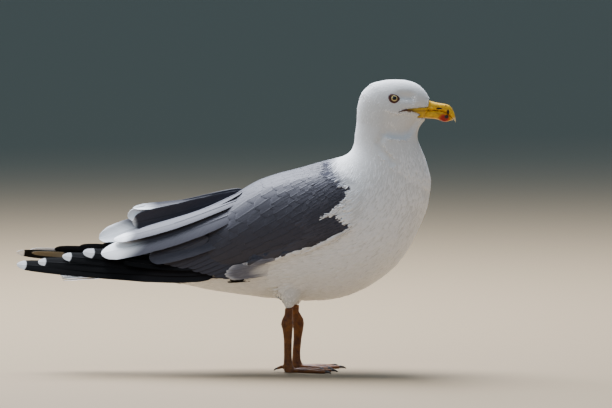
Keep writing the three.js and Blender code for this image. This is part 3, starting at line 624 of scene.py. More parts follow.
# On the wing feathers lie along its lower edge there and steeper higher up, in radians below level.
wing_height = z - (134 + 0.37 * x)
wing_fall = 0.36 + 0.27 * ease(wing_height, 8, 60) * ease(x, -60, 40)
wing_lie = np.column_stack([-np.cos(wing_fall), 0 * x, -np.sin(wing_fall)])
LEG_LIE = unit(np.array([-0.25, 0, -1.0]))
wing_weight = relax(on["wing"].astype(float), skin_edges, 6)[:, None]
leg_weight = relax(on["thigh"].astype(float), skin_edges, 6)[:, None]
lie = lie * (1 - wing_weight) + wing_lie * wing_weight
lie = lie * (1 - leg_weight) + LEG_LIE * leg_weight
skin_normals = normals_of(skin_mesh)
lie = lie - skin_normals * (lie * skin_normals).sum(1, keepdims=True)
lie = unit(relax(lie, skin_edges, 10))
lie = unit(lie - skin_normals * (lie * skin_normals).sum(1, keepdims=True))

# Feather length in mm along the body line, bill to tail, then on the wings, back and legs.
LENGTH_RUN = [0, 18, 45, 90, 140, 200, 300, 400, 470, 560, 700]
LENGTH_MM = [2.4, 3.0, 4.2, 5.2, 8.0, 11.0, 14.0, 17.0, 22.0, 30.0, 34.0]
length = np.interp(skin_run, LENGTH_RUN, LENGTH_MM)
behind_edge = inside(GREY_EDGE, x, z)
length[on["thigh"]] = 6.0
wing_length = np.interp(x, [-120, -40, 40, 110, 150], [34, 34, 26, 14, 9])
length = np.where(on["wing"] & behind_edge, wing_length, length)
back_length = np.interp(x, [-100, 60, 125], [34, 28, 10])
length = np.where(on["trunk"] & behind_edge, back_length, length)
length = relax(length, skin_edges, 8)
# Short feathers along the front of the grey, so its edge is fine.
off_front = off_line([p for p in GREY_EDGE if p[0] > 75], x, z)
fringe = np.exp(-((off_front / 9.0) ** 2)) * (np.abs(skin_normals[:, 1]) > 0.2)
length = length * (1 - fringe) + np.minimum(length, 7.5) * fringe
# Shorter feathers by the jaw's crease and the fold down the neck, where long ones would stand off.
off_crease = np.minimum(off_line(JAW_LINE, x, z), off_line(FOLDS[1][0], x, z))
length *= 1 - 0.5 * np.exp(-((off_crease / 7.0) ** 2))

# A feather shows its tip, so the colour of each is that of the place its tip reaches. The grey has a
# crisp front, except beside the nape, where it fades into the white.
tip_x, tip_z = x + lie[:, 0] * length * 0.8, z + lie[:, 2] * length * 0.8
behind = inside(GREY_EDGE, tip_x, tip_z)
crisp = relax((behind & ~((skin_normals[:, 2] < -0.75) & on["wing"])).astype(float), skin_edges, 1) > 0.5
into_grey = off_line(GREY_EDGE[:-3], tip_x, tip_z) * np.where(behind, 1, -1)
by_nape = ease(z, 243, 254) * ease(x, 90, 104)
grey = crisp * (1 - by_nape) + ease(into_grey, -15, 4) * by_nape
all_grey = grey > 0.97
bare_face = relax((inside(BARE_BILL, x, z) & on["head"]).astype(float), skin_edges, 1)

note(skin_mesh, "lie", lie)
note(skin_mesh, "length", length * MM)
note(skin_mesh, "grey", grey)
note(skin_mesh, "bare", bare_face)
# The unwrap: run along the body across the map, angle round it up the map, inside a margin.
map_run = 0.02 + 0.96 * skin_run / BODY_LINE_RUN[-1]
unwrap = np.column_stack([map_run, 0.5 + 0.48 * skin_angle / math.pi, 0 * x])
note(skin_mesh, "unwrap", unwrap)

# ------------------------------------------------------------ small feathers over the skin
# Half width of a small feather at places along it, root to tip, as shares of its breadth and length.
ROUNDED = [(0.0, 0.0), (0.3, 0.38), (0.72, 0.5), (0.93, 0.3), (1.0, 0.0)]
SLENDER = [(0.0, 0.0), (0.35, 0.42), (0.8, 0.42), (1.0, 0.0)]
PLUMP = 0.035  # how far the middle of a small feather stands over its rim, as a share of its length
PATCH = 0.003  # breadth on the bake map of one feather that lies on the body


def feather_pattern(name, outline, cup, bow):
    """A closed feather one long and one wide: root at the origin, tip along X, face up.
    outline gives the half width at places along it, cup bends its edges down and bow its tip."""
    places, faces, vane = [], [], []
    rows = []
    for along, half in outline:
        sag = -bow * along**2
        if half == 0:
            rows.append([len(places)])
            places.append((along, 0, sag))
            vane.append((0.5, along))
            continue
        rows.append([len(places), len(places) + 1, len(places) + 2])
        places += [(along, half, sag - cup * half), (along, 0, sag + PLUMP), (along, -half, sag - cup * half)]
        vane += [(0.5 + half, along), (0.5, along), (0.5 - half, along)]
    for a, b in zip(rows, rows[1:]):
        if len(a) == 1:
            faces += [(a[0], b[1], b[0]), (a[0], b[2], b[1]), (a[0], b[0], b[2])]
        elif len(b) == 1:
            faces += [(a[0], a[1], b[0]), (a[1], a[2], b[0]), (a[2], a[0], b[0])]
        else:
            faces += [(a[0], a[1], b[1], b[0]), (a[1], a[2], b[2], b[1]), (a[2], a[0], b[0], b[2])]
    mesh = bpy.data.meshes.new(name)
    mesh.from_pydata(places, [], faces)
    shape = bmesh.new()
    shape.from_mesh(mesh)
    bmesh.ops.recalc_face_normals(shape, faces=shape.faces)
    for edge in shape.edges:
        rim = all(abs(v.co.y) > 1e-6 or len(v.link_edges) < 5 for v in edge.verts)
        edge.smooth = not (rim and edge.calc_face_angle(0) > 0.35)
    shape.to_mesh(mesh)
    shape.free()
    mesh.shade_smooth()
    layer = mesh.uv_layers.new(name="vane")
    for loop in mesh.loops:
        layer.data[loop.index].uv = vane[loop.vertex_index]
    return linked(name, mesh)


def feathering_tree():
    """The tree that sets small feathers over a skin along its lie and makes them plain mesh."""
    tree = bpy.data.node_groups.new("feathering", "GeometryNodeTree")
    face = tree.interface
    face.new_socket("Geometry", in_out="OUTPUT", socket_type="NodeSocketGeometry")
    face.new_socket("Skin", in_out="INPUT", socket_type="NodeSocketGeometry")
    for name, kind in (
        [("Feather", "Object"), ("Where", "String"), ("Finish", "Material"), ("Seed", "Int")]
        + [("Spacing", "Float"), ("Crowd", "Float"), ("Height", "Float")]
        + [("Shape", "Vector"), ("Pose", "Vector"), ("Pose spread", "Vector")]
    ):
        face.new_socket(name, in_out="INPUT", socket_type="NodeSocket" + kind)
    given = add(tree, "NodeGroupInput").outputs
    where = add(tree, "GeometryNodeInputNamedAttribute", {"Name": given["Where"]}, data_type="FLOAT")
    feeds = {"Mesh": given["Skin"], "Distance Min": given["Spacing"], "Density Max": given["Crowd"]}
    feeds |= {"Density Factor": where, "Seed": given["Seed"]}
    strewn = add(tree, "GeometryNodeDistributePointsOnFaces", feeds, distribute_method="POISSON")
    outward = strewn.outputs["Normal"]

    # Each feather faces out from the skin and points along the lie, tipped and turned a little by chance.
    lie = add(tree, "GeometryNodeInputNamedAttribute", {"Name": "lie"}, data_type="FLOAT_VECTOR")
    feeds = {"Primary Axis": outward, "Secondary Axis": lie}
    along_lie = add(tree, "FunctionNodeAxesToRotation", feeds, primary_axis="Z", secondary_axis="X")
    feeds = {0: (-1, -1, -1), 1: (1, 1, 1), "Seed": given["Seed"]}
    chance = add(tree, "FunctionNodeRandomValue", feeds, data_type="FLOAT_VECTOR")
    feeds = {0: chance, 1: given["Pose spread"], 2: given["Pose"]}
    pose = add(tree, "ShaderNodeVectorMath", feeds, operation="MULTIPLY_ADD")
    pose = add(tree, "FunctionNodeEulerToRotation", {"Euler": pose})
    feeds = {"Rotation": along_lie, "Rotate By": pose}
    rotation = add(tree, "FunctionNodeRotateRotation", feeds, rotation_space="LOCAL")

    length = add(tree, "GeometryNodeInputNamedAttribute", {"Name": "length"}, data_type="FLOAT")
    tone = add(tree, "FunctionNodeRandomValue", {2: 0.0, 3: 1.0, "Seed": given["Seed"]}, data_type="FLOAT")
    longer = add(tree, "ShaderNodeMath", {0: tone, 1: 0.36, 2: 0.82}, operation="MULTIPLY_ADD")
    length = add(tree, "ShaderNodeMath", {0: length, 1: longer}, operation="MULTIPLY")
    size = add(tree, "ShaderNodeVectorMath", {0: given["Shape"], "Scale": length}, operation="SCALE")
    raised = add(tree, "ShaderNodeVectorMath", {0: outward, "Scale": given["Height"]}, operation="SCALE")
    rooted = add(tree, "GeometryNodeSetPosition", {"Geometry": strewn.outputs["Points"], "Offset": raised})
    pattern = add(tree, "GeometryNodeObjectInfo", {"Object": given["Feather"]}).outputs["Geometry"]
    feeds = {"Points": rooted, "Instance": pattern, "Rotation": rotation, "Scale": size}
    each = add(tree, "GeometryNodeInstanceOnPoints", feeds)
    feeds = {"Geometry": each, "Name": "tone", "Value": tone}
    each = add(tree, "GeometryNodeStoreNamedAttribute", feeds, data_type="FLOAT", domain="INSTANCE")
    feeds = {"Geometry": each, "Name": "ground", "Value": outward}
    each = add(tree, "GeometryNodeStoreNamedAttribute", feeds, data_type="FLOAT_VECTOR", domain="INSTANCE")
    real = add(tree, "GeometryNodeRealizeInstances", {"Geometry": each})

    # A small patch for each feather, at its root's place on the unwrap of the skin.
    vane = add(tree, "GeometryNodeInputNamedAttribute", {"Name": "vane"}, data_type="FLOAT_VECTOR")
    unwrap = add(tree, "GeometryNodeInputNamedAttribute", {"Name": "unwrap"}, data_type="FLOAT_VECTOR")
    feeds = {0: vane, 1: (PATCH, PATCH, 0), 2: unwrap}
    patch = add(tree, "ShaderNodeVectorMath", feeds, operation="MULTIPLY_ADD")
    feeds = {"Geometry": real, "Name": "OFBake", "Value": patch}
    mapped = add(tree, "GeometryNodeStoreNamedAttribute", feeds, data_type="FLOAT2", domain="CORNER")
    dressed = add(tree, "GeometryNodeSetMaterial", {"Geometry": mapped, "Material": given["Finish"]})
    add(tree, "NodeGroupOutput", {0: dressed})
    return tree


def shade_by_ground(mesh, ground, share):
    """Turns each point's shading towards the body under it: loose barbs scatter light into their
    neighbours, so a coat shades as one soft form. share is how far, one number or one for each point."""
    own = normals_of(mesh)
    share = (share * ((own * ground).sum(1) > 0))[:, None]
    mesh.normals_split_custom_set_from_vertices(unit(own * (1 - share) + ground * share))


FEATHERING = feathering_tree()
CROWD = 3  # feathers tried for each that the spacing leaves room for
ROOT_DEPTH = 0.3  # mm that a feather's root lies under the skin
COAT_SOFTNESS = 0.75  # how far a small feather shades as the body under it
small_feather = feather_pattern("small_feather", SLENDER, cup=0.10, bow=0.10)
body_feather = feather_pattern("body_feather", ROUNDED, cup=0.14, bow=0.10)


def coat(name, colour, pattern, where, spacing, seed, width=0.6, lift=0.08, spread=0.04, turn=0.12, long=1.0):
    """One piece of coat: feathers strewn where the skin's named mask says. Spacing in mm, width and long
    as shares of the skin's feather length, angles in radians."""
    note(skin_mesh, name, where)
    bearer = linked(name, skin_mesh)
    strew = bearer.modifiers.new("feathering", "NODES")
    strew.node_group = FEATHERING
    values = {"Feather": pattern, "Where": name, "Finish": plumage[colour], "Seed": seed}
    values |= {"Spacing": spacing * MM, "Crowd": CROWD / (spacing * MM) ** 2, "Height": -ROOT_DEPTH * MM}
    values |= {"Shape": (long, width, long), "Pose": (0.0, -lift, 0.0), "Pose spread": (0.08, spread, turn)}
    for item in FEATHERING.interface.items_tree:
        if item.name in values:
            strew[item.identifier] = values[item.name]
    bpy.context.view_layer.update()
    mesh = bpy.data.meshes.new_from_object(bearer.evaluated_get(bpy.context.evaluated_depsgraph_get()))
    mesh.name = name
    bpy.data.objects.remove(bearer)
    skin_mesh.attributes.remove(skin_mesh.attributes[name])
    shade_by_ground(mesh, read_rows(mesh.attributes["ground"].data, "vector"), COAT_SOFTNESS)
    for spare in ("lie", "length", "unwrap", "bare", "ground", name):
        if spare in mesh.attributes:
            mesh.attributes.remove(mesh.attributes[spare])
    finished(name, mesh, "plumage_" + colour)


def by_lids(x, z):
    """Which places lie under the ring of bare skin round the eye."""
    return np.hypot((x - EYE_X) / LID_COVER[0], (z - EYE_Z) / LID_COVER[1]) < 1


tip_x, tip_z = x + lie[:, 0] * length, z + lie[:, 2] * length
bare = inside(BARE_BILL, x, z) | inside(BARE_BILL, tip_x, tip_z) | by_lids(x, z) | by_lids(tip_x, tip_z)
feathered = (~(bare & on["head"])).astype(float)
white = feathered * ~all_grey
off_edge = off_line(GREY_EDGE[:-3], x, z)
grey_front = all_grey & (x > 40) & ((off_front < 15) | (off_edge < 9))
face = on["head"] & (skin_run < 30)

breast = on["trunk"] & (skin_run < 330)
belly = on["trunk"] & ~breast & (x > -92) & (lie[:, 2] > -0.6)

# name, colour, pattern, where on the skin, spacing in mm, seed
coat("face_feathers", "white", small_feather, white * face, 0.85, 1)
coat("head_feathers", "white", small_feather, white * (on["head"] & ~face), 1.05, 2)
coat("neck_feathers", "white", small_feather, white * on["neck"], 1.5, 3)
coat("breast_feathers", "white", body_feather, white * breast, 2.1, 4)
coat("belly_feathers", "white", body_feather, white * belly, 2.6, 5)
coat("mantle_feathers", "grey", body_feather, grey_front & on["trunk"], 2.2, 6)
for side_name, side in SIDES.items():
    on_this_side = y * side > 0
    wing = on["wing"] & on_this_side
    coat("wing_coverts_" + side_name, "grey", body_feather, grey_front & wing, 2.1, 8 + side)
    coat("wing_edge_" + side_name, "white", body_feather, white * wing * (x > 60), 3.0, 12 + side)
    hem = (off_front < 6) & on_this_side & (skin_normals[:, 1] * side > 0.2) & (z > 170) & (z < 250)
    coat(
        "fringe_feathers_" + side_name, "white", small_feather, hem & ~all_grey,
        1.25, 20 + side, width=0.24, lift=0.22, spread=0.1, turn=0.45, long=0.85,
    )
    leg = on["thigh"] & on_this_side
    coat("thigh_feathers_" + side_name, "white", small_feather, white * leg, 1.6, 16 + side)
for pattern in (small_feather, body_feather):
    bpy.data.objects.remove(pattern)

# ------------------------------------------------------------ large feathers
# Half width of a large feather at places along it, root to tip, as a share of its full half width.
VANE_OUTLINE = [(0, 0.3), (0.08, 0.62), (0.25, 0.86), (0.5, 0.98), (0.75, 1.0)]
VANE_OUTLINE += [(0.86, 0.9), (0.93, 0.66), (0.975, 0.38), (0.993, 0.17), (1, 0.04)]
TAPERED_OUTLINE = [(0, 0.45), (0.1, 0.85), (0.3, 1.0), (0.6, 0.95), (0.78, 0.86), (0.88, 0.76)]
TAPERED_OUTLINE += [(0.94, 0.62), (0.975, 0.42), (0.993, 0.22), (1, 0.06)]
MOST_FEATHERS = 24  # large feathers in one piece that stands clear of the body
# Columns across a vane, closer at its shaft and rims, as shares of its half breadth.
VANE_COLUMNS = np.array([-1, -0.93, -0.72, -0.45, -0.2, -0.07, 0.0, 0.07, 0.2, 0.45, 0.72, 0.93, 1])
VANE_SOFTNESS = 0.85  # how far a draped feather shades as the body under it
DRAPED_ROWS, DRAPED_CUP, DRAPED_THICK = 13, 0.07, 0.25


class FeatherDraft:
    """Large feathers gathered into one mesh, each a thin closed vane with its shaft."""

    def __init__(self, seed):
        self.places, self.faces, self.barbs, self.notes, self.patch, self.ground = [], [], [], [], [], []
        self.count = self.feathers = 0
        self.chance = np.random.default_rng(seed)

    def lay(self, upper, under, along, across_mm, long, marks, root_at=None, ground=None):
        """Adds one feather from its upper and under grids, which share their rim. On the body root_at is
        its root's place on the skin's unwrap and ground the way the body faces under its upper side. A
        feather clear of the body has neither, and a strip of the map to itself."""
        rows, columns = upper.shape[:2]
        start = self.count
        number = np.arange(rows * columns).reshape(rows, columns) + start
        inner = number[1:-1, 1:-1]
        below = number.copy()
        below[1:-1, 1:-1] = np.arange(inner.size).reshape(inner.shape) + start + rows * columns
        self.places += [upper.reshape(-1, 3), under[1:-1, 1:-1].reshape(-1, 3)]
        self.count += rows * columns + inner.size
        crossing = np.cross(upper[1:, 1:] - upper[:-1, :-1], upper[1:, :-1] - upper[:-1, 1:])
        turned = (crossing * (upper - under)[:-1, :-1]).sum() < 0
        for grid, turn in ((number, turned), (below, not turned)):
            quads = grid_faces(grid)
            self.faces.append(quads[:, ::-1] if turn else quads)
        from_tip = (1 - along)[:, None] * long + 0 * across_mm
        tone = self.chance.random()
        sheet = np.stack([across_mm, from_tip, np.full_like(from_tip, tone)], -1)
        told = np.stack([np.full_like(from_tip, m) for m in marks], -1)
        share = across_mm / max(np.ptp(across_mm), 1e-6) + 0.5
        sheet_at = np.stack([along[:, None] + 0 * share, share], -1)
        if root_at is None:
            patch = (sheet_at * [0.98, 0.9] + [0.01, 0.05 + self.feathers]) / [1, MOST_FEATHERS]
        else:
            patch = sheet_at * PATCH + root_at
        self.feathers += 1
        for store, values in ((self.barbs, sheet), (self.notes, told), (self.patch, patch)):
            store += [values.reshape(rows * columns, -1), values[1:-1, 1:-1].reshape(inner.size, -1)]
        if ground is not None:
            self.ground += [ground.reshape(-1, 3), np.zeros((inner.size, 3))]

    def piece(self, name, finish, slot, *nodes):
        """The gathered feathers made one finished piece."""
        made = bpy.data.meshes.new(name)
        made.from_pydata(np.concatenate(self.places) * MM, [], np.concatenate(self.faces).tolist())
        shape = bmesh.new()
        shape.from_mesh(made)
        for edge in shape.edges:
            edge.smooth = edge.calc_face_angle(0) < 0.7
        shape.to_mesh(made)
        shape.free()
        note(made, "barbs", np.concatenate(self.barbs))
        note(made, "marks", np.concatenate(self.notes))
        if self.ground:
            ground = np.concatenate(self.ground)
            shade_by_ground(made, ground, VANE_SOFTNESS * np.linalg.norm(ground, axis=1))
        corner = read_rows(made.loops, "vertex_index", 1, np.int32)[:, 0]
        baked = made.uv_layers.new(name="OFBake")
        baked.data.foreach_set("uv", np.concatenate(self.patch)[corner].astype(np.float32).ravel())
        made.materials.append(vanes[finish])
        finished(name, made, slot, *nodes)


def vane_grid(centre, along, across, face, wide, outline, cup, thick, ragged, chance):
    """Upper and under grids of a feather whose middle line, breadth and face directions are given."""
    rows = len(centre)
    half = np.interp(along, *smooth_rows(outline, 120).T) * wide / 2
    edge = 1 - ragged * chance.random((rows, 2))
    edge[:2] = 1
    reach = np.where(VANE_COLUMNS[None] < 0, edge[:, :1], edge[:, 1:])
    spread = VANE_COLUMNS[None] * half[:, None] * reach
    bend = -cup * (VANE_COLUMNS**2)[None] * half[:, None]
    shaft = np.exp(-((VANE_COLUMNS / 0.05) ** 2))[None] * (0.55 - 0.4 * along)[:, None]
    middle = centre[:, None] + across[:, None] * spread[..., None] + face[:, None] * bend[..., None]
    upper = middle + face[:, None] * (thick / 2 + shaft)[..., None]
    under = middle - face[:, None] * (thick / 2 + 0.6 * shaft)[..., None]
    return upper, under, spread


def free_feather(draft, row, side, marks, outline=VANE_OUTLINE, cup=0.12, thick=0.55, ragged=0.05, rows=30):
    """A large feather that stands clear of the body: root, middle and tip places, breadth and tilt."""
    points = np.array(row[:9], float).reshape(3, 3) * [1, side, 1]
    along = 1 - (1 - np.linspace(0, 1, rows)) ** 1.6  # rows crowd towards the tip, where the outline bends
    run = np.linspace(0, 1, 200)
    centre = np.column_stack([np.interp(along, run, column) for column in smooth_rows(points, 200).T])
    step = unit(np.gradient(centre, axis=0))
    tilt = math.radians(row[10])
    lean = np.array([0, -side * math.sin(tilt), math.cos(tilt)])
    across = unit(lean - step * (step @ lean)[:, None])
    face = np.cross(step, across) * side
    long = np.linalg.norm(np.diff(centre, axis=0), axis=1).sum()
    upper, under, spread = vane_grid(
        centre, along, across, face, row[9], outline, cup, thick, ragged, draft.chance
    )
    draft.lay(upper, under, along, spread, long, marks)


body_surface = surface_of(skin_mesh)
flow = kdtree.KDTree(len(skin_points))
for i, place in enumerate(skin_points):
    flow.insert(place, i)
flow.balance()


def draped_feather(draft, root, long, wide, marks, turn, start=-0.2, rise=None, ragged=0.05):
    """A large feather lying on the body: it begins at root, `start` mm up, follows the lie and rises
    by `rise` mm to its tip, or by as much as suits its length."""
    centre, step, face = [], [], []
    here = Vector(root)
    for _ in range(DRAPED_ROWS):
        spot, outward = body_surface.find_nearest(here)[:2]
        heading = Vector(lie[flow.find(spot)[1]])
        heading = (heading - outward * heading.dot(outward)).normalized()
        heading = heading * math.cos(turn) + outward.cross(heading) * math.sin(turn)
        centre.append(spot / MM)
        face.append(outward)
        step.append(heading)
        here = spot + heading * (long * MM / (DRAPED_ROWS - 1))
    centre, face, step = (relax_line(v) for v in (centre, face, step))
    across = unit(np.cross(face, step))
    along = np.linspace(0, 1, DRAPED_ROWS)
    upper, under, spread = vane_grid(
        centre, along, across, face, wide, VANE_OUTLINE, DRAPED_CUP, DRAPED_THICK, ragged, draft.chance
    )
    lift = start + (0.3 + 0.009 * long if rise is None else rise) * along**1.3
    ground = np.empty_like(upper)
    for i, j in np.ndindex(upper.shape[:2]):
        thick = upper[i, j] - under[i, j]
        spot, outward = body_surface.find_nearest(Vector((upper[i, j] + under[i, j]) / 2 * MM))[:2]
        raised = lift[i] * (1 - 0.45 * VANE_COLUMNS[j] ** 2)
        ground[i, j] = outward
        middle = np.array(spot / MM) + np.array(outward) * raised
        upper[i, j], under[i, j] = middle + thick / 2, middle - thick / 2
    root_at = unwrap[flow.find(Vector(root))[1], :2]
    draft.lay(upper, under, along, spread, long, marks, root_at, ground)


def relax_line(values):
    """The rows of values with their kinks taken out, ends kept."""
    values = np.array(values, float)
    for _ in range(3):
        values[1:-1] = (values[:-2] + 2 * values[1:-1] + values[2:]) / 4
    return values


def strewn_roots(allowed, spacing, seed):
    """Root points on the skin, no two nearer than the spacing at their place (mm), hindmost first."""
    order = np.random.default_rng(seed).permutation(np.nonzero(allowed)[0])
    kept = []
    for i in order:
        if not kept or (np.linalg.norm(skin_points[kept] - skin_points[i], axis=1) > spacing[i] * MM).all():
            kept.append(i)
    return sorted(kept, key=lambda i: skin_points[i, 0])


# A feather's marks: mm of pale tip, mm it fades over, and mm from the tip to the inner tint.
NO_MARKS = (-5, 1, 200)
SECONDARY_MARKS, TUFT_MARKS, TIE_MARKS = (1.2, 1.2, 200), (0, 16, 26), (6, 8, 30)
TUFT_SHADOW_MARKS, TAIL_MARKS = (-5, 1, 10), (-5, 1, 60)
COVERT_SPACING, COVERT_BREADTH = 0.27, 0.5  # of the back and coverts' feathers, as shares of their length

# The shoulder feathers, back and wing coverts: large feathers, longer towards the tail.
x, y, z = (skin_points / MM).T
covered = all_grey & (on["wing"] | on["trunk"]) & (skin_normals[:, 2] > -0.3)
far_enough = all_grey & inside(GREY_EDGE, x - lie[:, 0] * 3, z - lie[:, 2] * 3)
big_long = np.interp(x, [-60, 20, 80, 115, 140], [56, 52, 34, 19, 11])
for side_name, side in SIDES.items():
    draft = FeatherDraft(40 + side)
    allowed = covered & far_enough & (y * side >= -1) & (skin_normals[:, 1] * side > -0.25)
    allowed &= (x > -50) & (x < 140)
    for i in strewn_roots(allowed, big_long * COVERT_SPACING, 50 + side):
        long = big_long[i] * draft.chance.uniform(0.9, 1.1)
        turn = draft.chance.normal(0, 0.04)
        draped_feather(draft, skin_points[i], long, long * COVERT_BREADTH, NO_MARKS, turn)
    draft.piece("back_and_coverts_" + side_name, "grey_flight_feathers", "plumage_grey")

# Each row: root, middle and tip places, breadth, tilt of its face in degrees, then its marks.
# y is out from the body.
NEAR_TERTIALS = [
    [0, 46, 183, -60, 43, 164, -113, 36, 151, 29, 38, *NO_MARKS],
    [5, 42, 212, -75, 34, 182, -176, 20, 155, 35, 44, 30, 34, 300],
    [5, 28, 226, -80, 24, 195, -160, 14, 173, 24, 60, 22, 20, 300],
    [8, 17, 236, -50, 13, 209, -126, 8, 186, 20, 75, *NO_MARKS],
]
FAR_TERTIALS = [
    [-8, 45, 188, -70, 38, 172, -141, 26, 150, 24, 35, 22, 22, 90],
    [5, 40, 213, -80, 32, 199, -180, 16, 172, 33, -35, 34, 26, 300],
    [15, 32, 230, -75, 25, 206, -136, 16, 193, 26, 0, 3, 14, 300],
    [10, 37, 233, -80, 36, 209, -143, 29, 201, 24, -20, 28, 18, 300],
    [15, 31, 234, -60, 35, 219, -136, 33, 211.5, 14, -50, 16, 26, 300],
]
NEAR_PRIMARIES = [
    [-30, 44, 130, -120, 31, 129.5, -287, 8, 140, 24, 30, 16, 2, 110],
    [-34, 43, 137, -120, 29, 137.5, -259, 9, 143.5, 22, 30, 14, 2, 110],
    [-38, 42, 142, -118, 27, 143, -227, 11, 151, 20, 30, 16, 2, 110],
    [-42, 41, 147, -110, 26, 148, -200, 13, 156.5, 20, 30, 19, 2, 110],
    [-46, 40, 151, -100, 26, 152, -170, 16, 160, 18, 30, *NO_MARKS],
    [-50, 46, 140, -100, 38, 141, -146, 30, 145, 13, 30, -5, 1, 60],
]
FAR_PRIMARIES = [
    [-30, 44, 134, -130, 28, 141, -288, 5, 155, 18, 30, 14, 2, 110],
    [-34, 43, 139, -128, 26, 147, -270, 5.5, 158, 15, 30, 42, 3, 110],
    [-38, 42, 144, -124, 24, 151, -238, 6, 159.5, 18, 30, *NO_MARKS],
    [-42, 41, 149, -116, 23, 155, -206, 7, 162, 18, 30, *NO_MARKS],
    [-46, 40, 153, -104, 23, 158, -176, 10, 164, 17, 30, *NO_MARKS],
]
# The far wing's long feather shows the white patch near its end from its underside; the patch is painted
# brown-grey as painted shade.
MIRROR_FEATHER = [-34, 42, 137, -128, 24, 145, -268, 2.5, 154.5, 11, 30, 43, 3, 110]
TERTIALS = {"right": NEAR_TERTIALS, "left": FAR_TERTIALS}
PRIMARIES = {"right": NEAR_PRIMARIES, "left": FAR_PRIMARIES}
# The folded secondaries along the wing's lower hind edge: x and z where the first and last end.
SECONDARIES = 10
SECONDARY_ENDS = [(-106, 148), (-20, 128)]
SECONDARY_OUT = [(-110, 37), (-70, 43), (-20, 50)]  # x, and how far out from the body's middle they end there
SECONDARY_BREADTH, SECONDARY_TILT = 17, 22
# The flank tuft over the wing's lower hind edge, from its upper feather to its lowest: x and z of the
# roots and of the ends, then of dark strips beneath it that are a painted shadow under the tuft, and the
# run of white feathers that ties the wing's lower edge to the belly.
TUFT_ROOTS = [(66, 156), (56, 150), (50, 144), (46, 137), (44, 130)]
TUFT_ENDS = [(18, 143.5), (2, 141), (-11, 135), (-13, 129.5), (-5, 124.5)]
TUFT_FEATHERS = 22
TUFT_STRAY = 1.3  # how far their ends stray from that line
TUFT_END_OUT = 56  # how far out from the body's middle they end, clear of the secondaries
TUFT_SHADOW = [((24, 121.5), (-11, 118.8)), ((20, 123.3), (-8, 121.5))]
TIE_ENDS = [(44, 146), (75, 158.5), (102, 167), (122, 175.5), (142, 187)]
TIE_FEATHERS = 34


def spanned(root, end, proud_root, proud_end):
    """Root, middle and end places of a feather that lies so far proud of the body's side, in mm."""
    row = []
    for share in (0, 0.5, 1):
        at_x, at_z = np.array(root) * (1 - share) + np.array(end) * share
        proud = proud_root + (proud_end - proud_root) * share
        row += [at_x, side_breadth(body_surface, at_x, at_z) + proud, at_z]
    return row


def on_side(x, z, side):
    """The place on the body's side at x, z in mm."""
    return Vector((x, side_breadth(body_surface, x, z) * side, z)) * MM


for side_name, side in SIDES.items():
    draft = FeatherDraft(20 + side)
    for row in TERTIALS[side_name]:
        free_feather(draft, row[:11], side, row[11:])
    node = "tertials_" + side_name
    draft.piece("tertials_feathers_" + side_name, "grey_flight_feathers", "plumage_grey", node)

    draft = FeatherDraft(24 + side)
    for row in PRIMARIES[side_name]:
        free_feather(draft, row[:11], side, row[11:], outline=TAPERED_OUTLINE, cup=0.08)
    node = "primaries_" + side_name
    draft.piece("primaries_feathers_" + side_name, "black_flight_feathers", "plumage_black", node)

    draft = FeatherDraft(28 + side)
    for end_x, end_z in np.linspace(*SECONDARY_ENDS, SECONDARIES):
        out = np.interp(end_x, *np.transpose(SECONDARY_OUT))
        row = [end_x + 70, out + 6, end_z + 30, end_x + 34, out + 4, end_z + 13.5]
        row += [end_x, out, end_z, SECONDARY_BREADTH, SECONDARY_TILT]
        free_feather(draft, row, side, SECONDARY_MARKS)
    draft.piece("secondaries_" + side_name, "grey_flight_feathers", "plumage_grey")

    # The flank tuft: white feathers whose grey finish is painted shade under the wing's edge.
    draft = FeatherDraft(34 + side)
    for root, end in zip(*(smooth_rows(line, TUFT_FEATHERS) for line in (TUFT_ROOTS, TUFT_ENDS))):
        row = spanned(root, end + draft.chance.normal(0, TUFT_STRAY, 2), -1.5, 3)
        row[7] = max(row[7], TUFT_END_OUT)
        row[4] = max(row[4], (row[1] + row[7]) / 2 + 3)
        free_feather(draft, row + [6, -4], side, TUFT_MARKS, thick=0.3, ragged=0.2, rows=20)
    draft.piece("flank_feathers_" + side_name, "shade_painted_flank_feathers", "plumage_white")

    draft = FeatherDraft(44 + side)
    for root_x, root_z in smooth_rows(TIE_ENDS, TIE_FEATHERS):
        turn = draft.chance.normal(-0.12, 0.1) * side
        long = draft.chance.uniform(15, 22)
        root = on_side(root_x, root_z, side)
        draped_feather(draft, root, long, 5, TIE_MARKS, turn, start=1.0, rise=1.3, ragged=0.15)
    draft.piece("flank_edge_feathers_" + side_name, "white_flank_feathers", "plumage_white")

    # Dark strips in the black feather finish under the tuft: a painted shadow where the tuft overhangs the
    # belly.
    draft = FeatherDraft(48 + side)
    for root, end in TUFT_SHADOW:
        row = spanned(root, end, 0.0, 1.2) + [4, -35]
        free_feather(draft, row, side, TUFT_SHADOW_MARKS, thick=0.3, rows=16)
    draft.piece("under_flank_feathers_" + side_name, "black_flight_feathers", "plumage_grey")

draft = FeatherDraft(38)
free_feather(draft, MIRROR_FEATHER[:11], LEFT, MIRROR_FEATHER[11:], outline=TAPERED_OUTLINE, cup=0.08)
draft.piece("mirror_feather", "shade_painted_mirror_feather", "plumage_black")

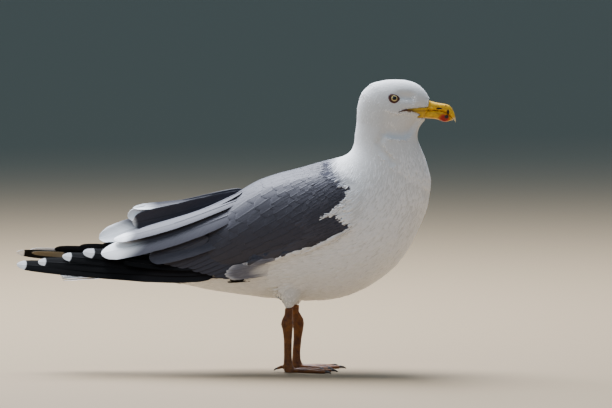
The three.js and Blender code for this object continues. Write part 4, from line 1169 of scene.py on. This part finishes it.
# The closed tail, its outer feathers lowest: x, z, half breadth of the whole tail, share of a feather's
# drop and how much shorter the outermost is, at its root, middle and end.
TAIL = [(-96, 133, 6, 0.3, 0), (-170, 128, 13, 1, 0), (-230, 125, 19.5, 1, 4)]
TAIL_FEATHERS = 12
TAIL_BREADTH, TAIL_TILT = 21, 90 * 0.9999  # of one feather, which lies all but flat
draft = FeatherDraft(31)
for k in range(TAIL_FEATHERS):
    out = 2 * k / (TAIL_FEATHERS - 1) - 1
    drop = 4.5 * out**2 + 0.5 * (k % 2)
    row = []
    for at_x, at_z, half, share, short in TAIL:
        row += [at_x + short * out**2, out * half, at_z - drop * share]
    free_feather(draft, row + [TAIL_BREADTH, -TAIL_TILT * np.sign(out)], RIGHT, TAIL_MARKS, cup=0.05)
draft.piece("tail_feathers", "white_tail_feathers", "plumage_white", "tail")

# ------------------------------------------------------------ the bill
# Rows: x, upper edge, lower edge, half breadth.
UPPER_BILL = [(240, 359, 341.6, 8.9), (246, 357, 341.6, 8.5), (255, 353.6, 341.4, 7.5)]
UPPER_BILL += [(264, 351.4, 341.2, 6.8), (272.5, 350.0, 339.6, 6.1), (278.5, 348.2, 335.4, 5.2)]
UPPER_BILL += [(283.3, 343.2, 331.2, 3.9), (286.4, 336.0, 328, 2.5), (287.6, 328.6, 325.4, 0.8)]
# Bare horn drawn back over the face: x, upper edge, lower edge.
GAPE = [(212.5, 340.7, 339.7), (219, 343.2, 341.6), (226, 344.5, 341.3)]
GAPE += [(236, 345.3, 341.2), (246, 345.6, 341.2), (258, 345.8, 341.3)]
HORN_THICK = 1.6  # of the patches on the face
# The lower bill's hind edge, forked round the chin feathers: height and x.
FORK = [(332.4, 238.5), (333.2, 236.6), (336.4, 241.7), (339.3, 236.2), (342.0, 227.0)]
LOWER_BILL = [(240, 341.75, 332.2, 8.8), (250, 341.6, 331.2, 7.7), (262, 341.35, 330.2, 6.4)]
LOWER_BILL += [(268, 340.9, 328.0, 5.8), (272.5, 339.9, 326.6, 5.3), (277, 337.0, 327.0, 4.3)]
LOWER_BILL += [(281, 333.6, 328.2, 2.9), (284.2, 330.6, 328.8, 1.1)]


def horn_shell(rows, stations, sides, ridge, square):
    """A closed horn surface through upright sections, narrowed to `ridge` of its breadth at the top."""
    rows = smooth_rows(rows, stations)
    turn = np.linspace(0, 2 * math.pi, sides, endpoint=False)
    rise = np.sign(np.cos(turn)) * np.abs(np.cos(turn)) ** square
    out = np.sign(np.sin(turn)) * np.abs(np.sin(turn)) ** square
    narrow = 1 - (1 - ridge) * (rise + 1) / 2
    x = np.repeat(rows[:, :1], sides, 1)
    y = rows[:, 3:] * (out * narrow)[None]
    z = (rows[:, 1:2] + rows[:, 2:3]) / 2 + (rows[:, 1:2] - rows[:, 2:3]) / 2 * rise[None]
    places = np.stack([x, y, z], -1).reshape(-1, 3)
    number = np.arange(stations * sides).reshape(stations, sides)
    return places, grid_faces(number, closed=True).tolist() + [number[0].tolist(), number[-1][::-1].tolist()]


def shell_mesh(name, shells, finish):
    """One mesh of closed shells, each its places in mm and its faces, all facing outwards."""
    places, faces, start = [], [], 0
    for some_places, some_faces in shells:
        faces += [[start + i for i in face] for face in some_faces]
        places.append(some_places)
        start += len(some_places)
    mesh = bpy.data.meshes.new(name)
    mesh.from_pydata(np.concatenate(places) * MM, [], faces)
    shape = bmesh.new()
    shape.from_mesh(mesh)
    bmesh.ops.recalc_face_normals(shape, faces=shape.faces)
    shape.to_mesh(mesh)
    shape.free()
    mesh.materials.append(finish)
    return mesh


def upper_bill_shell():
    """The upper bill with its slit nostril in a shallow basin and the groove before it."""
    places, faces = horn_shell(UPPER_BILL, stations=110, sides=72, ridge=0.62, square=0.86)
    x, y, z = places.T
    slant = (z - NOSTRIL[1]) - 0.16 * (x - NOSTRIL[0])
    slit = np.exp(-(((x - NOSTRIL[0]) / 3.9) ** 4) - (slant / 0.95) ** 2)
    basin = np.exp(-(((x - NOSTRIL[0] + 1.5) / 7.0) ** 2) - (slant / 2.4) ** 2)
    groove = np.exp(-(((z - 343.0) / 0.7) ** 2)) * ease(x, 252, 256) * (1 - ease(x, 268, 274))
    y -= np.sign(y) * (1.5 * slit + 0.45 * basin + 0.15 * groove) * (np.abs(y) > 1)
    return np.column_stack([x, y, z]), faces


def face_patch(places, bill_rows, proud):
    """A closed patch of horn on each side of the face that runs into the bill: x and z of its grid's
    places, and how far it stands proud of the skin."""
    grid = np.array(places)
    rows = smooth_rows(bill_rows, 60)
    out = np.empty(grid.shape[:2])
    for i, j in np.ndindex(out.shape):
        gx, gz = grid[i, j]
        top, bottom, half = (np.interp(gx, rows[:, 0], rows[:, k]) for k in (1, 2, 3))
        level = np.clip((2 * gz - top - bottom) / (top - bottom), -0.9, 0.9)
        on_bill = half * (1 - level**2) ** 0.43 if gx > rows[0, 0] + 2 else 0
        out[i, j] = max(side_breadth(face_surface, gx, gz), on_bill)
    out += proud
    rim = np.ones(out.shape, bool)
    rim[1:-1, 1:-1] = False
    out[rim] -= proud * 0.9
    number = np.arange(out.size).reshape(out.shape)
    quads = grid_faces(number)
    faces = quads.tolist() + (quads[:, ::-1] + out.size).tolist()
    loop = np.concatenate([number[0, :-1], number[:-1, -1], number[-1, :0:-1], number[:0:-1, 0]])
    after = np.roll(loop, -1)
    faces += np.column_stack([loop, after, after + out.size, loop + out.size]).tolist()
    shells = []
    for side in SIDES.values():
        outer, inner = (
            np.dstack([grid[..., 0], side * (out - deep), grid[..., 1]]) for deep in (0, HORN_THICK)
        )
        shells.append((np.concatenate([outer.reshape(-1, 3), inner.reshape(-1, 3)]), faces))
    return shells


def gape_places():
    """x and z over the horn drawn back along the mouth."""
    rows = smooth_rows(GAPE, 60)
    share = np.linspace(0, 1, 7)
    return [[(gx, top + (bottom - top) * s) for s in share] for gx, top, bottom in rows]


def chin_places():
    """x and z over the forked hind end of the lower bill."""
    heights = np.linspace(FORK[0][0], FORK[-1][0], 14)
    hind = np.interp(heights, *np.array(FORK).T)
    share = np.linspace(0, 1, 24)
    return [[(start + (256 - start) * s, height) for s in share] for height, start in zip(heights, hind)]


upper_shells = [upper_bill_shell()] + face_patch(gape_places(), UPPER_BILL, proud=0.5)
finished("bill_upper_horn", shell_mesh("bill_upper_horn", upper_shells, bill_horn), "bill_horn", "bill_upper")
lower_shells = [horn_shell(LOWER_BILL, stations=80, sides=56, ridge=1.12, square=0.85)]
lower_shells += face_patch(chin_places(), LOWER_BILL, proud=0.4)
finished("bill_lower_horn", shell_mesh("bill_lower_horn", lower_shells, bill_horn), "bill_horn", "bill_lower")

# ------------------------------------------------------------ eyes and their lids
EYE_SIDES, LID_SIDES = 64, 96
EYE_AREA = 9.5  # how far round the eye the skin's seat and facing are taken from
EYE_PROUD = 2.1  # how far the eyeball stands out of the skin round it
LID_INNER = (4.35, 4.15)  # half length and half height of the opening
LID_PLUMP = 1.15  # half thickness of the ring
# The ring's outer edge: distance from the eye's middle at each eighth of a turn from the front, upwards.
LID_OUTER = [7.3, 5.7, 5.6, 8.1, 7.6, 6.8, 6.7, 6.6]


def eye_seat(side):
    """Where the skin lies at the eye, in mm, and the directions out, forwards and up there."""
    near = (np.hypot(x - EYE_X, z - EYE_Z) < EYE_AREA) & (y * side > 0) & on["head"]
    face = unit(skin_normals[near].mean(0))
    along = unit(np.cross(face, [0, 0, side]))
    return skin_points[near].mean(0) / MM, face, along, np.cross(face, along) * -side


def eyeball(side):
    """A round eye, its rings centred on the pupil; `gaze` keeps each point's distance from the middle."""
    seat, face, along, up = eye_seat(side)
    centre = seat + face * (EYE_PROUD - EYE_RADIUS)
    turn = np.linspace(0, 2 * math.pi, EYE_SIDES, endpoint=False)
    polar = np.concatenate([np.linspace(0.03, 0.9, 40), np.linspace(1.0, 3.1, 22)])
    bulge = EYE_RADIUS + 0.35 * np.exp(-((polar / 0.5) ** 2))
    around = along * np.cos(turn)[:, None] + up * np.sin(turn)[:, None]
    forward = face * np.cos(polar)[:, None, None]
    rings = centre + bulge[:, None, None] * (forward + around[None] * np.sin(polar)[:, None, None])
    number = np.arange(len(polar) * EYE_SIDES).reshape(-1, EYE_SIDES)
    faces = grid_faces(number, closed=True).tolist() + [number[0].tolist(), number[-1].tolist()]
    mesh = shell_mesh("eye", [(rings.reshape(-1, 3), faces)], wet_eye)
    gaze = np.repeat(np.sin(np.minimum(polar, math.pi / 2)) * EYE_RADIUS, EYE_SIDES)
    spin = np.tile(turn, len(polar))
    note(mesh, "gaze", np.column_stack([gaze * np.cos(spin), gaze * np.sin(spin), gaze]))
    return mesh


def lids(side):
    """The ring of bare skin round the eye, drawn to slight corners before and behind."""
    seat, face, along, up = eye_seat(side)
    turn = np.linspace(0, 2 * math.pi, LID_SIDES, endpoint=False)
    section = np.linspace(0, 2 * math.pi, 20, endpoint=False)
    # Three turns of the outer edge, of which the middle one has no ends.
    stations = 3 * LID_SIDES - LID_SIDES // len(LID_OUTER) + 1
    rim = smooth_rows(np.array(LID_OUTER * 3)[:, None], stations)[LID_SIDES : 2 * LID_SIDES, 0]
    places = []
    for angle in section:
        share = (1 + math.cos(angle)) / 2
        height = LID_PLUMP * math.sin(angle) * (1.0 if math.sin(angle) > 0 else 1.6) - 0.5 * share + 0.35
        wrinkle = 0.12 * np.sin(turn * 22) * math.sin(angle)
        a = LID_INNER[0] + (rim - LID_INNER[0]) * share
        b = LID_INNER[1] + (rim - LID_INNER[1]) * share
        ring = seat + along * (a * np.cos(turn))[:, None] + up * (b * np.sin(turn))[:, None]
        places.append(ring + face * (height + wrinkle)[:, None])
    number = np.arange(len(section) * LID_SIDES).reshape(-1, LID_SIDES)
    number = np.vstack([number, number[:1]])
    faces = grid_faces(number, closed=True).tolist()
    return shell_mesh("lids", [(np.concatenate(places), faces)], lid_skin)


for side_name, side in SIDES.items():
    finished("eyeball_" + side_name, eyeball(side), "eye", "eye_" + side_name)
    finished("eyelids_" + side_name, lids(side), "leg_skin")


# ------------------------------------------------------------ legs and claws
def smoothed_cover(name, nodes, voxel, rounds, finish):
    """The nodes' solids as one closed surface with its facets rounded off, kept above the floor."""
    mesh = made_whole(name, nodes, voxel, swell=0.25)
    points = relax(points_of(mesh), edges_of(mesh), rounds)
    points[:, 2] = np.maximum(points[:, 2], 0)
    move_points(mesh, points)
    mesh.materials.append(finish)
    return mesh


for side_name in SIDES:
    nodes = ["shank_" + side_name, "foot_" + side_name]
    leg = smoothed_cover("leg_" + side_name, nodes, voxel=0.7, rounds=6, finish=leg_skin)
    finished("leg_" + side_name, leg, "leg_skin", *nodes)
    for toe in ("inner", "middle", "outer", "hallux"):
        node = f"claw_{side_name}_{toe}"
        claw = smoothed_cover(node + "_horn", [node], voxel=0.3, rounds=4, finish=claw_horn)
        finished(node + "_horn", claw, "claw_horn", node)

skin_mesh.materials.append(downy_skin)
finished("skin", skin_mesh, "plumage_white", *FLESH)

# ------------------------------------------------------------ camera, floor and lights
AIM = Vector((0.0917, 0.0, 0.2188))
CAMERA_AWAY = 7.0
CAMERA_RISE = math.radians(3.5)
FRAME_WIDTH = 0.8017
SENSOR = 36.0
LIT_PLACE = Vector((0.05, 0, 0.2))  # what the lamps point at


def studio():
    eye = bpy.data.cameras.new("camera")
    eye.sensor_width = SENSOR
    eye.lens = SENSOR * CAMERA_AWAY / FRAME_WIDTH
    eye.clip_end = 200.0
    view = bpy.data.objects.new("camera", eye)
    view.location = AIM + CAMERA_AWAY * Vector((0, -math.cos(CAMERA_RISE), math.sin(CAMERA_RISE)))
    view.rotation_euler = (AIM - view.location).to_track_quat("-Z", "Y").to_euler()
    bpy.context.scene.collection.objects.link(view)
    bpy.context.scene.camera = view

    disc = bmesh.new()
    bmesh.ops.create_circle(disc, cap_ends=True, radius=60.0, segments=96)
    mesh = bpy.data.meshes.new("floor")
    disc.to_mesh(mesh)
    disc.free()
    floor = linked("floor", mesh)
    paint = bpy.data.materials.new("matt_floor")
    paint.use_nodes = True
    coat = paint.node_tree.nodes["Principled BSDF"]
    coat.inputs["Base Color"].default_value = srgb("#8f7c60")
    coat.inputs["Roughness"].default_value = 0.9
    mesh.materials.append(paint)

    sky = bpy.data.worlds.new("studio")
    sky.use_nodes = True
    back = sky.node_tree.nodes["Background"]
    back.inputs["Color"].default_value = srgb("#9cc6ea")
    back.inputs["Strength"].default_value = 0.52
    bpy.context.scene.world = sky

    # name: place, size, watts, colour
    lamps = {
        "overhead": ((-0.5, 1.1, 2.4), 1.8, 370, "#eef3ff"),
        "front_fill": ((-0.8, -2.6, 3.0), 2.2, 24, "#ffffff"),
        "low_warm_fill": ((1.2, -2.2, 0.25), 1.2, 5, "#ffb880"),
    }
    for name, (place, size, watts, tint) in lamps.items():
        lamp = bpy.data.lights.new(name, "AREA")
        lamp.size = size
        lamp.energy = watts
        lamp.color = srgb(tint)[:3]
        light = bpy.data.objects.new(name, lamp)
        light.location = place
        light.rotation_euler = (LIT_PLACE - light.location).to_track_quat("-Z", "Y").to_euler()
        bpy.context.scene.collection.objects.link(light)


studio()
